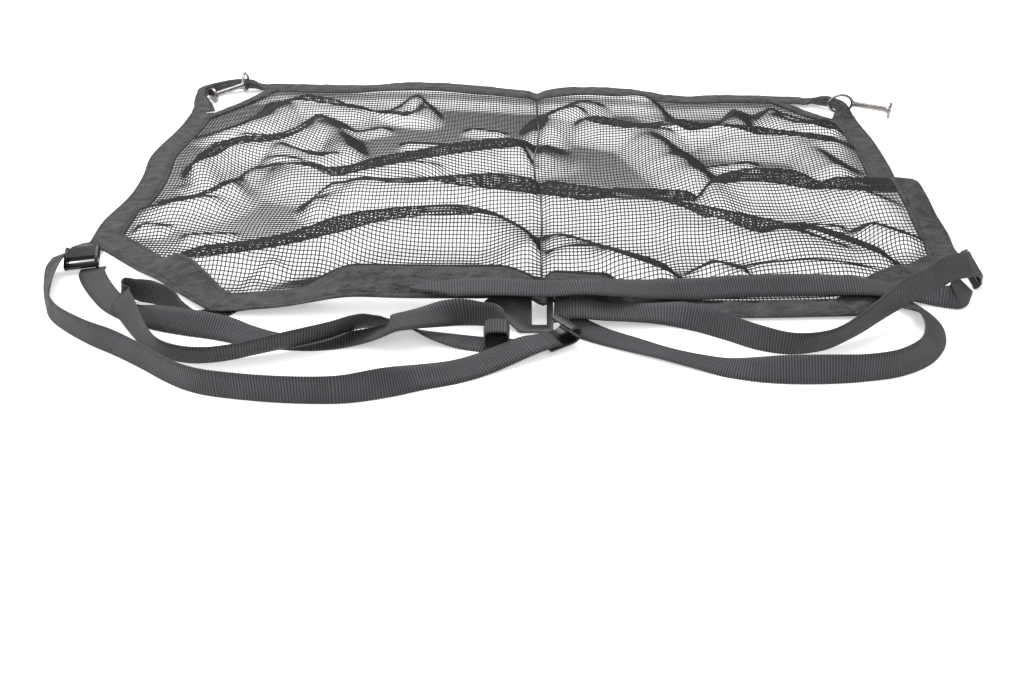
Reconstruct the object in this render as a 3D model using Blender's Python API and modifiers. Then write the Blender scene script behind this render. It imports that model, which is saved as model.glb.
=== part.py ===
"""Cargo net lying open on a flat surface: a bound mesh with two tie-down straps, hooks, buckles and pins.

The cloth is drawn flat in (u, v), u to the right and v away from the front hem, and lay() drops it over its
folds. Strap routes and folds are short tables in millimetres, measured from the middle of the front hem.
"""

import math
from collections import namedtuple

import bmesh
import bpy
from mathutils import Matrix, Vector

MM = 0.001

# Driving sizes of the cloth, in metres
NET_LEFT = -0.468
NET_RIGHT = 0.452
NET_DEPTH = 0.690
BAND_WIDTH = 0.033
BAND_THICK = 0.0024
MESH_THICK = 0.0016
SEAM_GAP = 0.0005
CORNER_CUT_LEFT = (0.172, 0.152)    # length cut off the front hem, then off the side
CORNER_CUT_RIGHT = (0.144, 0.122)
SIDE_END_LEFT = 0.562               # where each side band gathers into its corner loop
SIDE_END_RIGHT = 0.598
BACK_END_LEFT = -0.380
BACK_END_RIGHT = 0.392

# Driving sizes of the fittings
WEB_WIDTH = 0.025
WEB_THICK = 0.0014
TAB_THICK = 0.002
LOOP_RADIUS = 0.007
PIN_RADIUS = 0.0037
PIN_LENGTH = 0.050
HEAD_RADIUS = 0.0105
HEAD_THICK = 0.004
EYE_WIDTH = 0.037
EYE_HEIGHT = 0.029
EYE_WIRE = 0.00225
PLATE_THICK = 0.003
PLATE_SLOPE = 30.0                  # degrees that the plate hook leans back on the front hem
BUCKLE_WIDTH = 0.033
BUCKLE_LENGTH = 0.028
BUCKLE_WALL = 0.003
BUCKLE_HEIGHT = 0.008

# The middle of the part's footprint, so that the part is centred on its own origin
CENTRE = (0.0136, 0.2835)

# Where the cloth lies: rows of place and offset, in metres
Side = namedtuple("Side", "v left right")
SIDES = (
    Side(0.00, -0.466, 0.449),
    Side(0.15, -0.465, 0.449),
    Side(0.20, -0.469, 0.455),
    Side(0.27, -0.463, 0.447),
    Side(0.33, -0.467, 0.443),
    Side(0.40, -0.478, 0.450),
    Side(0.50, -0.472, 0.456),
    Side(0.58, -0.474, 0.456),
    Side(0.69, -0.476, 0.458),
)
Hem = namedtuple("Hem", "u front back lift rise")
HEMS = (
    Hem(-0.470, 0.000, 0.728, 0.0028, 0.003),
    Hem(-0.380, 0.000, 0.718, 0.0030, 0.004),
    Hem(-0.300, -0.001, 0.700, 0.0040, 0.007),
    Hem(-0.240, -0.002, 0.690, 0.0080, 0.010),
    Hem(-0.180, 0.002, 0.694, 0.0150, 0.012),
    Hem(-0.120, 0.002, 0.690, 0.0150, 0.012),
    Hem(-0.055, 0.002, 0.680, 0.0150, 0.010),
    Hem(0.008, 0.002, 0.666, 0.0140, 0.008),
    Hem(0.072, -0.003, 0.672, 0.0070, 0.012),
    Hem(0.140, -0.010, 0.662, 0.0028, 0.012),
    Hem(0.210, -0.011, 0.644, 0.0026, 0.008),
    Hem(0.300, -0.008, 0.650, 0.0026, 0.007),
    Hem(0.392, -0.004, 0.650, 0.0028, 0.004),
    Hem(0.460, 0.000, 0.652, 0.0030, 0.003),
)
LIFT_REACH = 0.060                  # how far in from the front and back hems their lifts die out

# Fold crests in millimetres: from one end to the other, with a bow to the left of that way, and the width of
# the slope on the near side and on the far side
Fold = namedtuple("Fold", "x0 y0 x1 y1 bow height near far")
FOLDS = (
    Fold(-124, 299, 332, 95, 29, 30, 105, 32),
    Fold(82, 256, 196, 243, 0, 24, 80, 30),
    Fold(194, 232, 345, 278, 50, 27, 100, 32),
    Fold(335, 280, 460, 262, 0, 27, 95, 36),
    Fold(-231, 311, 11, 430, 15, 24, 95, 34),
    Fold(-231, 119, -29, 183, 37, 28, 85, 32),
    Fold(-62, 211, 10, 101, 12, 20, 60, 30),
    Fold(-200, 37, 8, 37, 0, 31, 62, 50),
    Fold(10, 37, 88, 32, 0, 25, 60, 45),
    Fold(13, 112, 146, 37, 28, 17, 60, 30),
    Fold(20, 158, 138, 60, 4, 15, 50, 30),
    Fold(176, 92, 212, 52, 14, 11, 40, 25),
    Fold(210, 80, 330, 64, 0, 12, 55, 35),
    Fold(270, 178, 362, 84, 11, 19, 60, 32),
    Fold(365, 191, 412, 142, 0, 11, 45, 30),
    Fold(-406, 472, -340, 620, -23, 15, 45, 45),
    Fold(-392, 445, -278, 534, -48, 19, 70, 34),
    Fold(-279, 540, -224, 385, 3, 16, 40, 40),
    Fold(-387, 307, -323, 428, 37, 17, 60, 34),
    Fold(-323, 428, -228, 385, -13, 17, 60, 32),
    Fold(-310, 353, -104, 339, -27, 21, 80, 32),
    Fold(-225, 276, 3, 266, 0, 28, 85, 34),
    Fold(-358, 92, -157, 185, -18, 25, 80, 34),
    Fold(-244, 226, -169, 279, 0, 17, 50, 30),
    Fold(-430, 232, -338, 310, -23, 11, 60, 32),
    Fold(20, 466, 95, 610, 12, 17, 45, 45),
    Fold(70, 530, 198, 460, 0, 19, 70, 32),
    Fold(148, 478, 207, 291, 0, 20, 50, 45),
    Fold(152, 519, 293, 575, -56, 17, 70, 32),
    Fold(244, 478, 410, 439, 9, 17, 80, 32),
    Fold(332, 577, 405, 504, -29, 15, 50, 32),
    Fold(353, 443, 376, 344, 0, 13, 40, 40),
    Fold(-345, 627, -216, 568, 0, 15, 60, 32),
    Fold(-217, 574, -150, 628, -52, 13, 50, 32),
)
CREST_POWER = 4                     # how sharply one crest gives way to the next
CREST_FADE = 0.18                   # share of a crest's length over which each end dies out
CREASE_X = 0.015                    # the storage fold down the middle of the net
CREASE_DEPTH = 0.006
CREASE_HALF_WIDTH = 0.011

# Strap routes in millimetres: the lower edge of the webbing, its height, and the lean of the webbing in
# degrees from flat on its left side (0) through on edge (90) to flat on its right side (180)
Route = namedtuple("Route", "x y lift lean")
LEFT_OUT = (
    Route(-270, 34, 0, 0),
    Route(-288, 27, 0, 0),
    Route(-297, 15, 0, 0),
    Route(-306, 8.5, 0, 12),
    Route(-314, 6.5, 0, 44),
    Route(-323, 8, 0, 72),
    Route(-333, 12, 0, 84),
    Route(-344, 17, 0, 89),
    Route(-356, 23, 0, 91),
    Route(-368, 27, 0, 86),
    Route(-380, 29, 2.8, 76),
    Route(-389, 24, 3, 52),
    Route(-391, 13, 3.6, 42),
    Route(-385, 0, 3.6, 47),
    Route(-376, -13, 3.2, 52),
    Route(-365, -28, 1.6, 60),
    Route(-349, -48, 0, 74),
    Route(-330, -67, 0, 92),
    Route(-311, -80, 0, 108),
    Route(-291, -86, 0, 115),
    Route(-273, -85, 0, 119),
    Route(-257, -80.5, 0, 120),
    Route(-242, -75, 0.8, 120),
    Route(-229, -71, 1.8, 119),
    Route(-213, -65.5, 2.8, 118),
    Route(-195, -58, 3.2, 117),
    Route(-177, -49, 3.8, 118),
    Route(-162, -39.5, 4.8, 120),
    Route(-149, -31, 3.4, 123),
    Route(-136, -27, 1.2, 126),
    Route(-127, -25.5, 0, 130),
    Route(-117, -25.5, 0, 136),
    Route(-105, -27.5, 0, 142),
    Route(-94, -30.5, 0, 150),
    Route(-77, -35, 0, 165),
    Route(-58, -39, 0, 176),
    Route(-35, -43.5, 0, 180),
    Route(-8, -47, 0, 180),
    Route(7, -47, 0, 180),
)
LEFT_HOOK = (
    Route(18.4, -75.5, 5, 176),
    Route(4, -84, 5, 168),
    Route(-31, -106, 1, 163),
    Route(-58, -120, 0, 160),
    Route(-86, -130, 0, 152),
    Route(-110, -140, 0, 130),
    Route(-135, -147, 0, 106),
    Route(-160, -150, 0, 95),
    Route(-205, -148, 0, 92),
    Route(-253, -140, 0, 90),
    Route(-280, -131, 0, 90),
    Route(-304, -116, 0, 92),
    Route(-332, -94, 0, 94),
    Route(-361, -73, 0, 95),
    Route(-391, -53, 0, 90),
    Route(-422, -28, 0, 88),
    Route(-443, -6, 0, 97),
    Route(-456, 18, 0, 110),
    Route(-469, 46, 0, 124),
    Route(-479, 74, 2, 138),
    Route(-482, 89, 6, 150),
    Route(-479, 101, 10.4, 156),
)
LEFT_TAIL = (
    Route(-446, 77, 1, 6),
    Route(-433, 54, 0, 4),
    Route(-414, 27, 0, 2),
    Route(-398, 8, 0, 3),
    Route(-377, -9, 0, 8),
    Route(-344, -27, 0, 34),
    Route(-313, -38, 0, 45),
    Route(-283, -46, 0, 36),
    Route(-256, -55, 0, 14),
    Route(-228, -62, 0, 3),
    Route(-195, -66, 0, 2),
    Route(-172, -64, 0.3, 2),
    Route(-152, -62, 3.2, 2),
    Route(-138, -64, 8.4, 3),
    Route(-126, -68, 15.4, 3),
    Route(-115, -67.5, 20.3, 4),
    Route(-104, -62.5, 19.6, 9),
    Route(-92, -54, 16.4, 15),
    Route(-77, -41, 10.4, 30),
    Route(-60, -28.5, 4.6, 66),
    Route(-43, -23, 2, 92),
    Route(-29, -28, 2, 90),
    Route(-21.2, -40.4, 3, 90),
)
RIGHT_OUT = (
    Route(318, 34, 0, 180),
    Route(340, 37, 0, 177),
    Route(362, 30, 0, 173),
    Route(374, 10, 0, 165),
    Route(380, -14, 0, 150),
    Route(378, -38, 0, 146),
    Route(368, -64, 0, 138),
    Route(347, -90, 0, 118),
    Route(317, -108, 0, 102),
    Route(285, -116, 0, 98),
    Route(255, -120, 0, 110),
    Route(226, -121, 0, 130),
    Route(197, -118, 0, 152),
    Route(169, -110, 0, 170),
    Route(142, -98, 2, 182),
    Route(114, -84, 3, 186),
    Route(86, -69, 2, 180),
    Route(62, -55, 1, 176),
    Route(44, -43, 1, 170),
    Route(30, -32, 1, 162),
)
RIGHT_BACK = (
    Route(24.4, -26.6, 6, 30),
    Route(34, -27, 9, 26),
    Route(46, -27, 11, 20),
    Route(70, -27, 9, 12),
    Route(96, -26, 7, 12),
    Route(123, -24, 3, 24),
    Route(150, -30, 0, 58),
    Route(178, -46, 0, 84),
    Route(203, -63, 0, 90),
    Route(231, -71, 0, 103),
    Route(262, -64, 0, 106),
    Route(295, -44, 3, 98),
    Route(325, -23, 9, 86),
    Route(352, -5, 14, 72),
    Route(380, 14, 15, 65),
    Route(405, 32, 19, 60),
    Route(429, 45, 17, 54),
    Route(440, 54, 14, 52),
)
RIGHT_TAIL = (
    Route(432, 45, 1, 143),
    Route(425, 31, 1, 142),
    Route(417, 17, 1, 138),
    Route(408, 10, 1, 138),
    Route(399, 11, 1, 144),
    Route(388, 15, 1, 156),
    Route(374, 18, 3, 166),
    Route(354, 19, 7, 172),
    Route(328, 20, 10, 170),
    Route(300, 22, 9, 158),
    Route(263, 22, 8, 150),
    Route(231, 21, 8, 150),
    Route(199, 19, 8, 150),
    Route(168, 15, 8, 152),
    Route(138, 12, 9.6, 156),
    Route(107, 3, 15.4, 161),
    Route(78, -6, 22.6, 166),
    Route(50, -8, 25.4, 174),
    Route(20, -13, 26, 172),
    Route(-16, -12, 26.6, 170),
    Route(-45, -12, 26.8, 168),
    Route(-73, -14, 26, 170),
    Route(-106, -18, 23, 174),
)

# Corner loops, where the band gathers into a roll: middle of the roll, its height, width and thickness
Roll = namedtuple("Roll", "x y z wide thick")
LOOP_LEFT = (
    Roll(-457, 596.8, 1.2, 32, 2.4),
    Roll(-461, 614, 5.0, 25, 6),
    Roll(-468, 632, 10.0, 17, 12),
    Roll(-471, 652, 11.8, 14, 14),
    Roll(-460, 674, 11.8, 14, 14),
    Roll(-443, 689, 11.8, 14, 14),
    Roll(-424, 695, 11.8, 14, 14),
    Roll(-406, 697, 10.5, 17, 12),
    Roll(-397, 699.5, 6.5, 25, 7),
    Roll(-388.2, 700.5, 5.0, 31, 3),
)
LOOP_RIGHT = (
    Roll(440, 566, 1.2, 32, 2.4),
    Roll(440.5, 574, 5.0, 24, 7),
    Roll(440, 583, 10.5, 17, 13),
    Roll(439, 592, 11.8, 14, 14),
    Roll(434, 603, 11.8, 14, 14),
    Roll(424, 613, 11.8, 14, 14),
    Roll(416, 621, 10.0, 17, 12),
    Roll(408, 629.5, 6.5, 24, 7),
    Roll(399.8, 631.5, 5.0, 29, 3),
)
ROLL_SIDES = 12

# Corners of each buckle's tab in millimetres: two at the band, then two at the buckle
TAB_LEFT = ((-464.6, 158.9, 1.4), (-441.4, 136.6, 1.4), (-439.4, 117.4, 15.4), (-464.0, 112.7, 16.4))
TAB_RIGHT = ((452.2, 117.8, 2.0), (442.2, 109.0, 2.0), (434.4, 82.0, 25.2), (448.4, 75.2, 6.6))

PARTS = bpy.data.collections.new("cargo_net")
CUTTERS = bpy.data.collections.new("cutters")


# ---- scene and materials

def clear_scene():
    for thing in list(bpy.data.objects):
        bpy.data.objects.remove(thing, do_unlink=True)
    bpy.context.scene.collection.children.link(PARTS)
    bpy.context.scene.collection.children.link(CUTTERS)


def finish(name, colour, roughness, metallic=0.0):
    made = bpy.data.materials.new(name)
    made.use_nodes = True
    shader = made.node_tree.nodes["Principled BSDF"]
    shader.inputs["Base Color"].default_value = (*colour, 1.0)
    shader.inputs["Roughness"].default_value = roughness
    shader.inputs["Metallic"].default_value = metallic
    return made


def add_part(name, mesh, material, home, smooth=False):
    """A named part from a bmesh or a mesh, placed under the net's empty."""
    if isinstance(mesh, bmesh.types.BMesh):
        bm, mesh = mesh, bpy.data.meshes.new(name)
        bmesh.ops.recalc_face_normals(bm, faces=bm.faces)
        bm.to_mesh(mesh)
        bm.free()
    if smooth:
        mesh.shade_smooth()
    mesh.materials.append(material)
    part = bpy.data.objects.new(name, mesh)
    part.parent = home
    PARTS.objects.link(part)
    return part


def add_cutter(name, bm, home):
    mesh = bpy.data.meshes.new(name)
    bmesh.ops.recalc_face_normals(bm, faces=bm.faces)
    bm.to_mesh(mesh)
    bm.free()
    cutter = bpy.data.objects.new(name, mesh)
    cutter.parent = home
    cutter.hide_render = True
    cutter.display_type = "WIRE"
    CUTTERS.objects.link(cutter)
    return cutter


def combine(part, cutter, operation):
    change = part.modifiers.new(cutter.name, "BOOLEAN")
    change.operation = operation
    change.object = cutter


# ---- curves through a table's rows

def hermite(p0, p1, p2, p3, t):
    """Smooth blend from p1 to p2 that follows the slope of the rows on each side."""
    a = 2 * p1
    b = p2 - p0
    c = 2 * p0 - 5 * p1 + 4 * p2 - p3
    d = 3 * (p1 - p2) + p3 - p0
    return 0.5 * (a + b * t + c * t * t + d * t * t * t)


def read(rows, key, field, at):
    """The value of a field at a place along the rows, on a smooth curve."""
    places = [getattr(row, key) for row in rows]
    values = [getattr(row, field) for row in rows]
    last = len(rows) - 1
    at = min(max(at, places[0]), places[-1])
    i = max(k for k in range(last) if places[k] <= at)
    t = (at - places[i]) / (places[i + 1] - places[i])
    return hermite(values[max(i - 1, 0)], values[i], values[i + 1], values[min(i + 2, last)], t)


def stations(rows, spacing):
    """Points about a spacing apart on the smooth curve through the rows, each a vector of all the fields."""
    points = [Vector(row) for row in rows]
    last = len(points) - 1
    found = []
    for i in range(last):
        near = [points[max(i - 1, 0)], points[i], points[i + 1], points[min(i + 2, last)]]
        steps = max(1, round((near[2].to_3d() - near[1].to_3d()).length / spacing))
        found += [hermite(*near, step / steps) for step in range(steps)]
    return found + [points[-1]]


def soft_step(t):
    t = min(max(t, 0.0), 1.0)
    return t * t * (3 - 2 * t)


# ---- how the cloth lies

def crest(fold, x, y):
    """Height that one fold gives to a place."""
    run = Vector((fold.x1 - fold.x0, fold.y1 - fold.y0))
    side = Vector((-run.y, run.x)).normalized()
    if side.y < 0:
        side = -side
    bow = fold.bow if run.x > 0 or side.x * -run.y > 0 else -fold.bow
    offset = Vector((x / MM - fold.x0, y / MM - fold.y0))
    t = offset.dot(run) / run.length_squared
    inside = min(max(t, 0.0), 1.0)
    distance = offset.dot(side) - 4 * bow * inside * (1 - inside)
    width = fold.far if distance > 0 else fold.near
    share = min(abs(distance) / width, 1.0)
    ends = soft_step((t + CREST_FADE) / (2 * CREST_FADE)) * soft_step((1 + CREST_FADE - t) / (2 * CREST_FADE))
    return fold.height * MM * ends * 0.5 * (1 + math.cos(math.pi * share))


def height(x, y, u, v):
    """Height of the cloth's underside: the crests, the lifted hems and the crease down the middle."""
    lifted = read(HEMS, "u", "lift", u) * (1 - soft_step((v - 0.5 * LIFT_REACH) / LIFT_REACH))
    raised = read(HEMS, "u", "rise", u) * soft_step((v - NET_DEPTH + 1.5 * LIFT_REACH) / LIFT_REACH)
    total = lifted ** CREST_POWER + raised ** CREST_POWER
    total += sum(crest(fold, x, y) ** CREST_POWER for fold in FOLDS)
    level = total ** (1 / CREST_POWER)
    valley = max(0.0, 1 - abs(u - CREASE_X) / CREASE_HALF_WIDTH)
    return max(0.0, level - CREASE_DEPTH * valley * min(1.0, level / CREASE_DEPTH / 2))


def lay(u, v):
    """Where a place on the flat cloth lies: x, y and the height of its underside."""
    across = (u - NET_LEFT) / (NET_RIGHT - NET_LEFT)
    along = v / NET_DEPTH
    left = read(SIDES, "v", "left", v) - NET_LEFT
    right = read(SIDES, "v", "right", v) - NET_RIGHT
    front = read(HEMS, "u", "front", u)
    back = read(HEMS, "u", "back", u) - NET_DEPTH
    x = u + (1 - across) * left + across * right
    y = v + (1 - along) * front + along * back
    return Vector((x, y, height(x, y, u, v)))


def thicken(bm, thick):
    """Raises a copy of an open sheet and closes the rim, which gives a solid of even height."""
    raised = bmesh.ops.extrude_face_region(bm, geom=bm.faces[:])["geom"]
    points = [item for item in raised if isinstance(item, bmesh.types.BMVert)]
    bmesh.ops.translate(bm, verts=points, vec=(0, 0, thick))


def cut_away(bm, start, end):
    """Cuts the flat cloth along a line and drops what lies to the right of it."""
    run = Vector((end[0] - start[0], end[1] - start[1], 0))
    outward = Vector((run.y, -run.x, 0))
    geometry = bm.verts[:] + bm.edges[:] + bm.faces[:]
    bmesh.ops.bisect_plane(bm, geom=geometry, plane_co=(*start, 0), plane_no=outward, clear_outer=True)


def beside(start, end, distance):
    """A line moved to its left by a distance."""
    run = Vector((end[0] - start[0], end[1] - start[1])).normalized()
    shift = Vector((-run.y, run.x)) * distance
    return tuple(Vector(start) + shift), tuple(Vector(end) + shift)


def meeting(first, second):
    """The point where two lines in the plane cross."""
    (x1, y1), (x2, y2) = first
    (x3, y3), (x4, y4) = second
    across = (x1 - x2) * (y3 - y4) - (y1 - y2) * (x3 - x4)
    a = x1 * y2 - y1 * x2
    b = x3 * y4 - y3 * x4
    return ((a * (x3 - x4) - (x1 - x2) * b) / across, (a * (y3 - y4) - (y1 - y2) * b) / across)


# Outline of the net, counter-clockwise from the left end of the front hem
OUTLINE = (
    (NET_LEFT + CORNER_CUT_LEFT[0], 0.0),
    (NET_RIGHT - CORNER_CUT_RIGHT[0], 0.0),
    (NET_RIGHT, CORNER_CUT_RIGHT[1]),
    (NET_RIGHT, NET_DEPTH),
    (NET_LEFT, NET_DEPTH),
    (NET_LEFT, CORNER_CUT_LEFT[1]),
)
FRONT, CUT_RIGHT, RIGHT, BACK, LEFT, CUT_LEFT = (
    (OUTLINE[i], OUTLINE[(i + 1) % len(OUTLINE)]) for i in range(len(OUTLINE))
)
INNER_LEFT = NET_LEFT + BAND_WIDTH
INNER_RIGHT = NET_RIGHT - BAND_WIDTH
INNER_BACK = NET_DEPTH - BAND_WIDTH
# Each corner tape runs from the side band's inner edge to the back band's, and meets each along a short edge
TAPE_LEFT = ((INNER_LEFT, 0.536), (-0.362, INNER_BACK), (-0.380, INNER_BACK), (INNER_LEFT, 0.562))
TAPE_RIGHT = ((0.345, INNER_BACK), (INNER_RIGHT, 0.574), (INNER_RIGHT, 0.598), (0.366, INNER_BACK))


def net_mesh(material, home):
    """The open mesh inside the bands, as one thin sheet over its folds."""
    cells_across, cells_along = 38, 44
    inset = BAND_WIDTH + SEAM_GAP
    low = Vector((NET_LEFT + inset, inset))
    high = Vector((NET_RIGHT - inset, NET_DEPTH - inset))
    bm = bmesh.new()
    bmesh.ops.create_grid(bm, x_segments=cells_across, y_segments=cells_along, size=0.5)
    bmesh.ops.scale(bm, verts=bm.verts, vec=(high.x - low.x, high.y - low.y, 1))
    bmesh.ops.translate(bm, verts=bm.verts, vec=((low.x + high.x) / 2, (low.y + high.y) / 2, 0))
    for start, end in (CUT_RIGHT, CUT_LEFT):
        cut_away(bm, *(beside(start, end, inset)))
    cut_away(bm, *beside(TAPE_LEFT[1], TAPE_LEFT[0], SEAM_GAP))
    cut_away(bm, *beside(TAPE_RIGHT[1], TAPE_RIGHT[0], SEAM_GAP))
    for vert in bm.verts:
        vert.co = lay(vert.co.x, vert.co.y)
    thicken(bm, MESH_THICK)
    return add_part("net_mesh", bm, material, home, smooth=True)


def cloth_panel(name, corners, cells, thick, material, home, lift=0.0):
    """A four-cornered piece of flat cloth laid over the folds; corners go counter-clockwise."""
    a, b, c, d = (Vector(corner) for corner in corners)
    shrink = 0.5 * SEAM_GAP
    bm = bmesh.new()
    bmesh.ops.create_grid(bm, x_segments=cells[0], y_segments=cells[1], size=0.5)
    run_in = shrink / (b - a).length
    rise_in = shrink / (d - a).length
    for vert in bm.verts:
        s = min(max(vert.co.x + 0.5, run_in), 1 - run_in)
        t = min(max(vert.co.y + 0.5, rise_in), 1 - rise_in)
        flat = (a * (1 - s) + b * s) * (1 - t) + (d * (1 - s) + c * s) * t
        vert.co = lay(*flat) + Vector((0, 0, lift))
    thicken(bm, thick)
    return add_part(name, bm, material, home, smooth=True)


def bands(material, home):
    """The bound border: front, two cut corners, two sides and the back, mitred where they meet."""
    width = BAND_WIDTH
    inner = {line: beside(*line, width) for line in (FRONT, CUT_RIGHT, RIGHT, BACK, LEFT, CUT_LEFT)}
    front_left = meeting(inner[CUT_LEFT], inner[FRONT])
    front_right = meeting(inner[FRONT], inner[CUT_RIGHT])
    side_right = meeting(inner[CUT_RIGHT], inner[RIGHT])
    side_left = meeting(inner[LEFT], inner[CUT_LEFT])
    panels = (
        ("band_front", (FRONT[0], FRONT[1], front_right, front_left), (38, 3)),
        ("band_front_right", (FRONT[1], CUT_RIGHT[1], side_right, front_right), (12, 3)),
        ("band_right", (CUT_RIGHT[1], (NET_RIGHT, SIDE_END_RIGHT), (INNER_RIGHT, SIDE_END_RIGHT), side_right), (30, 3)),
        ("band_back", ((BACK_END_RIGHT, NET_DEPTH), (BACK_END_LEFT, NET_DEPTH),
                       (BACK_END_LEFT, INNER_BACK), (BACK_END_RIGHT, INNER_BACK)), (44, 2)),
        ("band_left", ((NET_LEFT, SIDE_END_LEFT), CUT_LEFT[0], side_left, (INNER_LEFT, SIDE_END_LEFT)), (28, 3)),
        ("band_front_left", (CUT_LEFT[0], CUT_LEFT[1], front_left, side_left), (14, 3)),
    )
    for name, corners, cells in panels:
        cloth_panel(name, corners, cells, BAND_THICK, material, home)
    cloth_panel("corner_tape_left", TAPE_LEFT, (10, 2), BAND_THICK, material, home)
    cloth_panel("corner_tape_right", TAPE_RIGHT, (9, 2), BAND_THICK, material, home)


# ---- webbing, rolls and fittings

def webbing(name, rows, material, home):
    """Webbing swept along a route: a strip two cells wide, leaned at each station, then thickened."""
    spots = stations(rows, 13)
    half = 0.5 * WEB_THICK
    bm = bmesh.new()
    bmesh.ops.create_grid(bm, x_segments=len(spots) - 1, y_segments=1, size=0.5)
    bm.verts.ensure_lookup_table()
    order = sorted(bm.verts, key=lambda vert: (round(vert.co.x, 5), vert.co.y))
    for i, spot in enumerate(spots):
        ahead = spots[min(i + 1, len(spots) - 1)] - spots[max(i - 1, 0)]
        run = Vector((ahead[0], ahead[1], 0)).normalized()
        left = Vector((-run.y, run.x, 0))
        lean = math.radians(spot[3])
        width = math.cos(lean) * left + math.sin(lean) * Vector((0, 0, 1))
        droop = max(0.0, -math.sin(lean)) * WEB_WIDTH
        low = Vector((spot[0] * MM, spot[1] * MM, max(spot[2] * MM, droop) + half * abs(math.cos(lean))))
        order[2 * i].co = low
        order[2 * i + 1].co = low + WEB_WIDTH * width
    strip = add_part(name, bm, material, home)
    wall = strip.modifiers.new("webbing thickness", "SOLIDIFY")
    wall.thickness = WEB_THICK
    wall.offset = 0
    return strip


def patch(name, corners, material, home):
    """A short four-cornered tab of band cloth between two fittings; corners in millimetres."""
    a, b, c, d = (Vector(corner) * MM for corner in corners)
    bm = bmesh.new()
    bmesh.ops.create_grid(bm, x_segments=1, y_segments=4, size=0.5)
    for vert in bm.verts:
        s, t = vert.co.x + 0.5, vert.co.y + 0.5
        vert.co = (a * (1 - s) + b * s) * (1 - t) + (d * (1 - s) + c * s) * t
    tab = add_part(name, bm, material, home)
    wall = tab.modifiers.new("tab thickness", "SOLIDIFY")
    wall.thickness = TAB_THICK
    wall.offset = 0
    return tab


def roll(name, rows, material, home):
    """Band cloth gathered into a roll: rounded sections that change from flat to round, lofted and capped."""
    spots = stations(rows, 9)
    bm = bmesh.new()
    rings = []
    for i, (x, y, z, wide, thick) in enumerate(spots):
        ahead = spots[min(i + 1, len(spots) - 1)] - spots[max(i - 1, 0)]
        run = Vector((ahead[0], ahead[1], 0)).normalized()
        side = Vector((-run.y, run.x, 0))
        ring = []
        for k in range(ROLL_SIDES):
            turn = 2 * math.pi * (k + 0.5) / ROLL_SIDES
            flat = 0.5 * wide * math.cos(turn) * side + Vector((0, 0, 0.5 * thick * math.sin(turn)))
            ring.append(bm.verts.new((Vector((x, y, z)) + flat) * MM))
        rings.append(ring)
    for near, far in zip(rings, rings[1:]):
        for k in range(ROLL_SIDES):
            after = (k + 1) % ROLL_SIDES
            bm.faces.new((near[k], near[after], far[after], far[k]))
    bm.faces.new(reversed(rings[0]))
    bm.faces.new(rings[-1])
    return add_part(name, bm, material, home, smooth=True)


def facing(place, forward, upward):
    """A frame at a place whose X points forward and whose Z points upward."""
    x = Vector(forward).normalized()
    y = Vector(upward).cross(x).normalized()
    z = x.cross(y)
    frame = Matrix((x, y, z)).transposed().to_4x4()
    return Matrix.Translation(place) @ frame


def rod(bm, radius, start, length, sides, frame):
    """A cylinder along a frame's X axis."""
    turn = Matrix.Rotation(math.radians(90), 4, "Y")
    shift = Matrix.Translation((start + 0.5 * length, 0, 0))
    bmesh.ops.create_cone(bm, cap_ends=True, segments=sides, radius1=radius, radius2=radius, depth=length,
                          matrix=frame @ shift @ turn)


def block(bm, size, centre, frame=Matrix()):
    shape = Matrix.Translation(centre) @ Matrix.Diagonal((*size, 1))
    bmesh.ops.create_cube(bm, size=1, matrix=frame @ shape)


def eye_pin(name, eye, ring_way, pin_way, material, home):
    """A pin with a flat head and a bent eye: the eye stands round its corner loop, the pin lies beside it."""
    upright = facing(eye, ring_way, (0, 0, 1))
    reach = 0.5 * EYE_WIDTH - EYE_WIRE
    lying = facing(upright @ Vector((reach, 0, 0)), pin_way, (0, 0, 1))
    bm = bmesh.new()
    turns, sides = 28, 8
    profile = bmesh.ops.create_circle(bm, segments=sides, radius=EYE_WIRE, matrix=Matrix.Rotation(math.pi / 2, 4, "X")
                                      @ Matrix.Translation((reach, 0, 0)))
    rim = list({edge for vert in profile["verts"] for edge in vert.link_edges})
    bmesh.ops.spin(bm, geom=profile["verts"] + rim, cent=(0, 0, 0), axis=(0, 0, 1), angle=2 * math.pi,
                   steps=turns, use_merge=True)
    bmesh.ops.remove_doubles(bm, verts=bm.verts, dist=1e-5)
    squash = Matrix.Diagonal((1, (0.5 * EYE_HEIGHT - EYE_WIRE) / reach, 1, 1))
    stand = Matrix.Rotation(math.radians(90), 4, "X")
    bmesh.ops.transform(bm, matrix=upright @ stand @ squash, verts=bm.verts)
    pin = add_part(name, bm, material, home, smooth=True)
    shank = bmesh.new()
    rod(shank, PIN_RADIUS, 0, PIN_LENGTH, 14, lying)
    combine(pin, add_cutter(name + "_shank", shank, home), "UNION")
    head = bmesh.new()
    rod(head, HEAD_RADIUS, PIN_LENGTH - 0.5 * MM, HEAD_THICK, 20, lying)
    combine(pin, add_cutter(name + "_head", head, home), "UNION")
    return pin


PLATE_FRAME = facing((0, -0.0345, 0.0002), (1, 0, 0), (0, -math.sin(math.radians(PLATE_SLOPE)),
                                                    math.cos(math.radians(PLATE_SLOPE))))
# The plate hook's outline in its own plane, in millimetres: along the hem, then up the plate
PLATE_OUTLINE = ((22, 0), (24, 2), (24, 40), (22, 42), (-10, 42), (-22, 40), (-36, 36), (-41, 31), (-39, 25),
                 (-31, 25), (-19, 13), (-8, 1), (-5, 0))
SLOT = ((4.5, 18.0), (7.6, 37.4))   # the webbing slot's two ranges in the same plane


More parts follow.
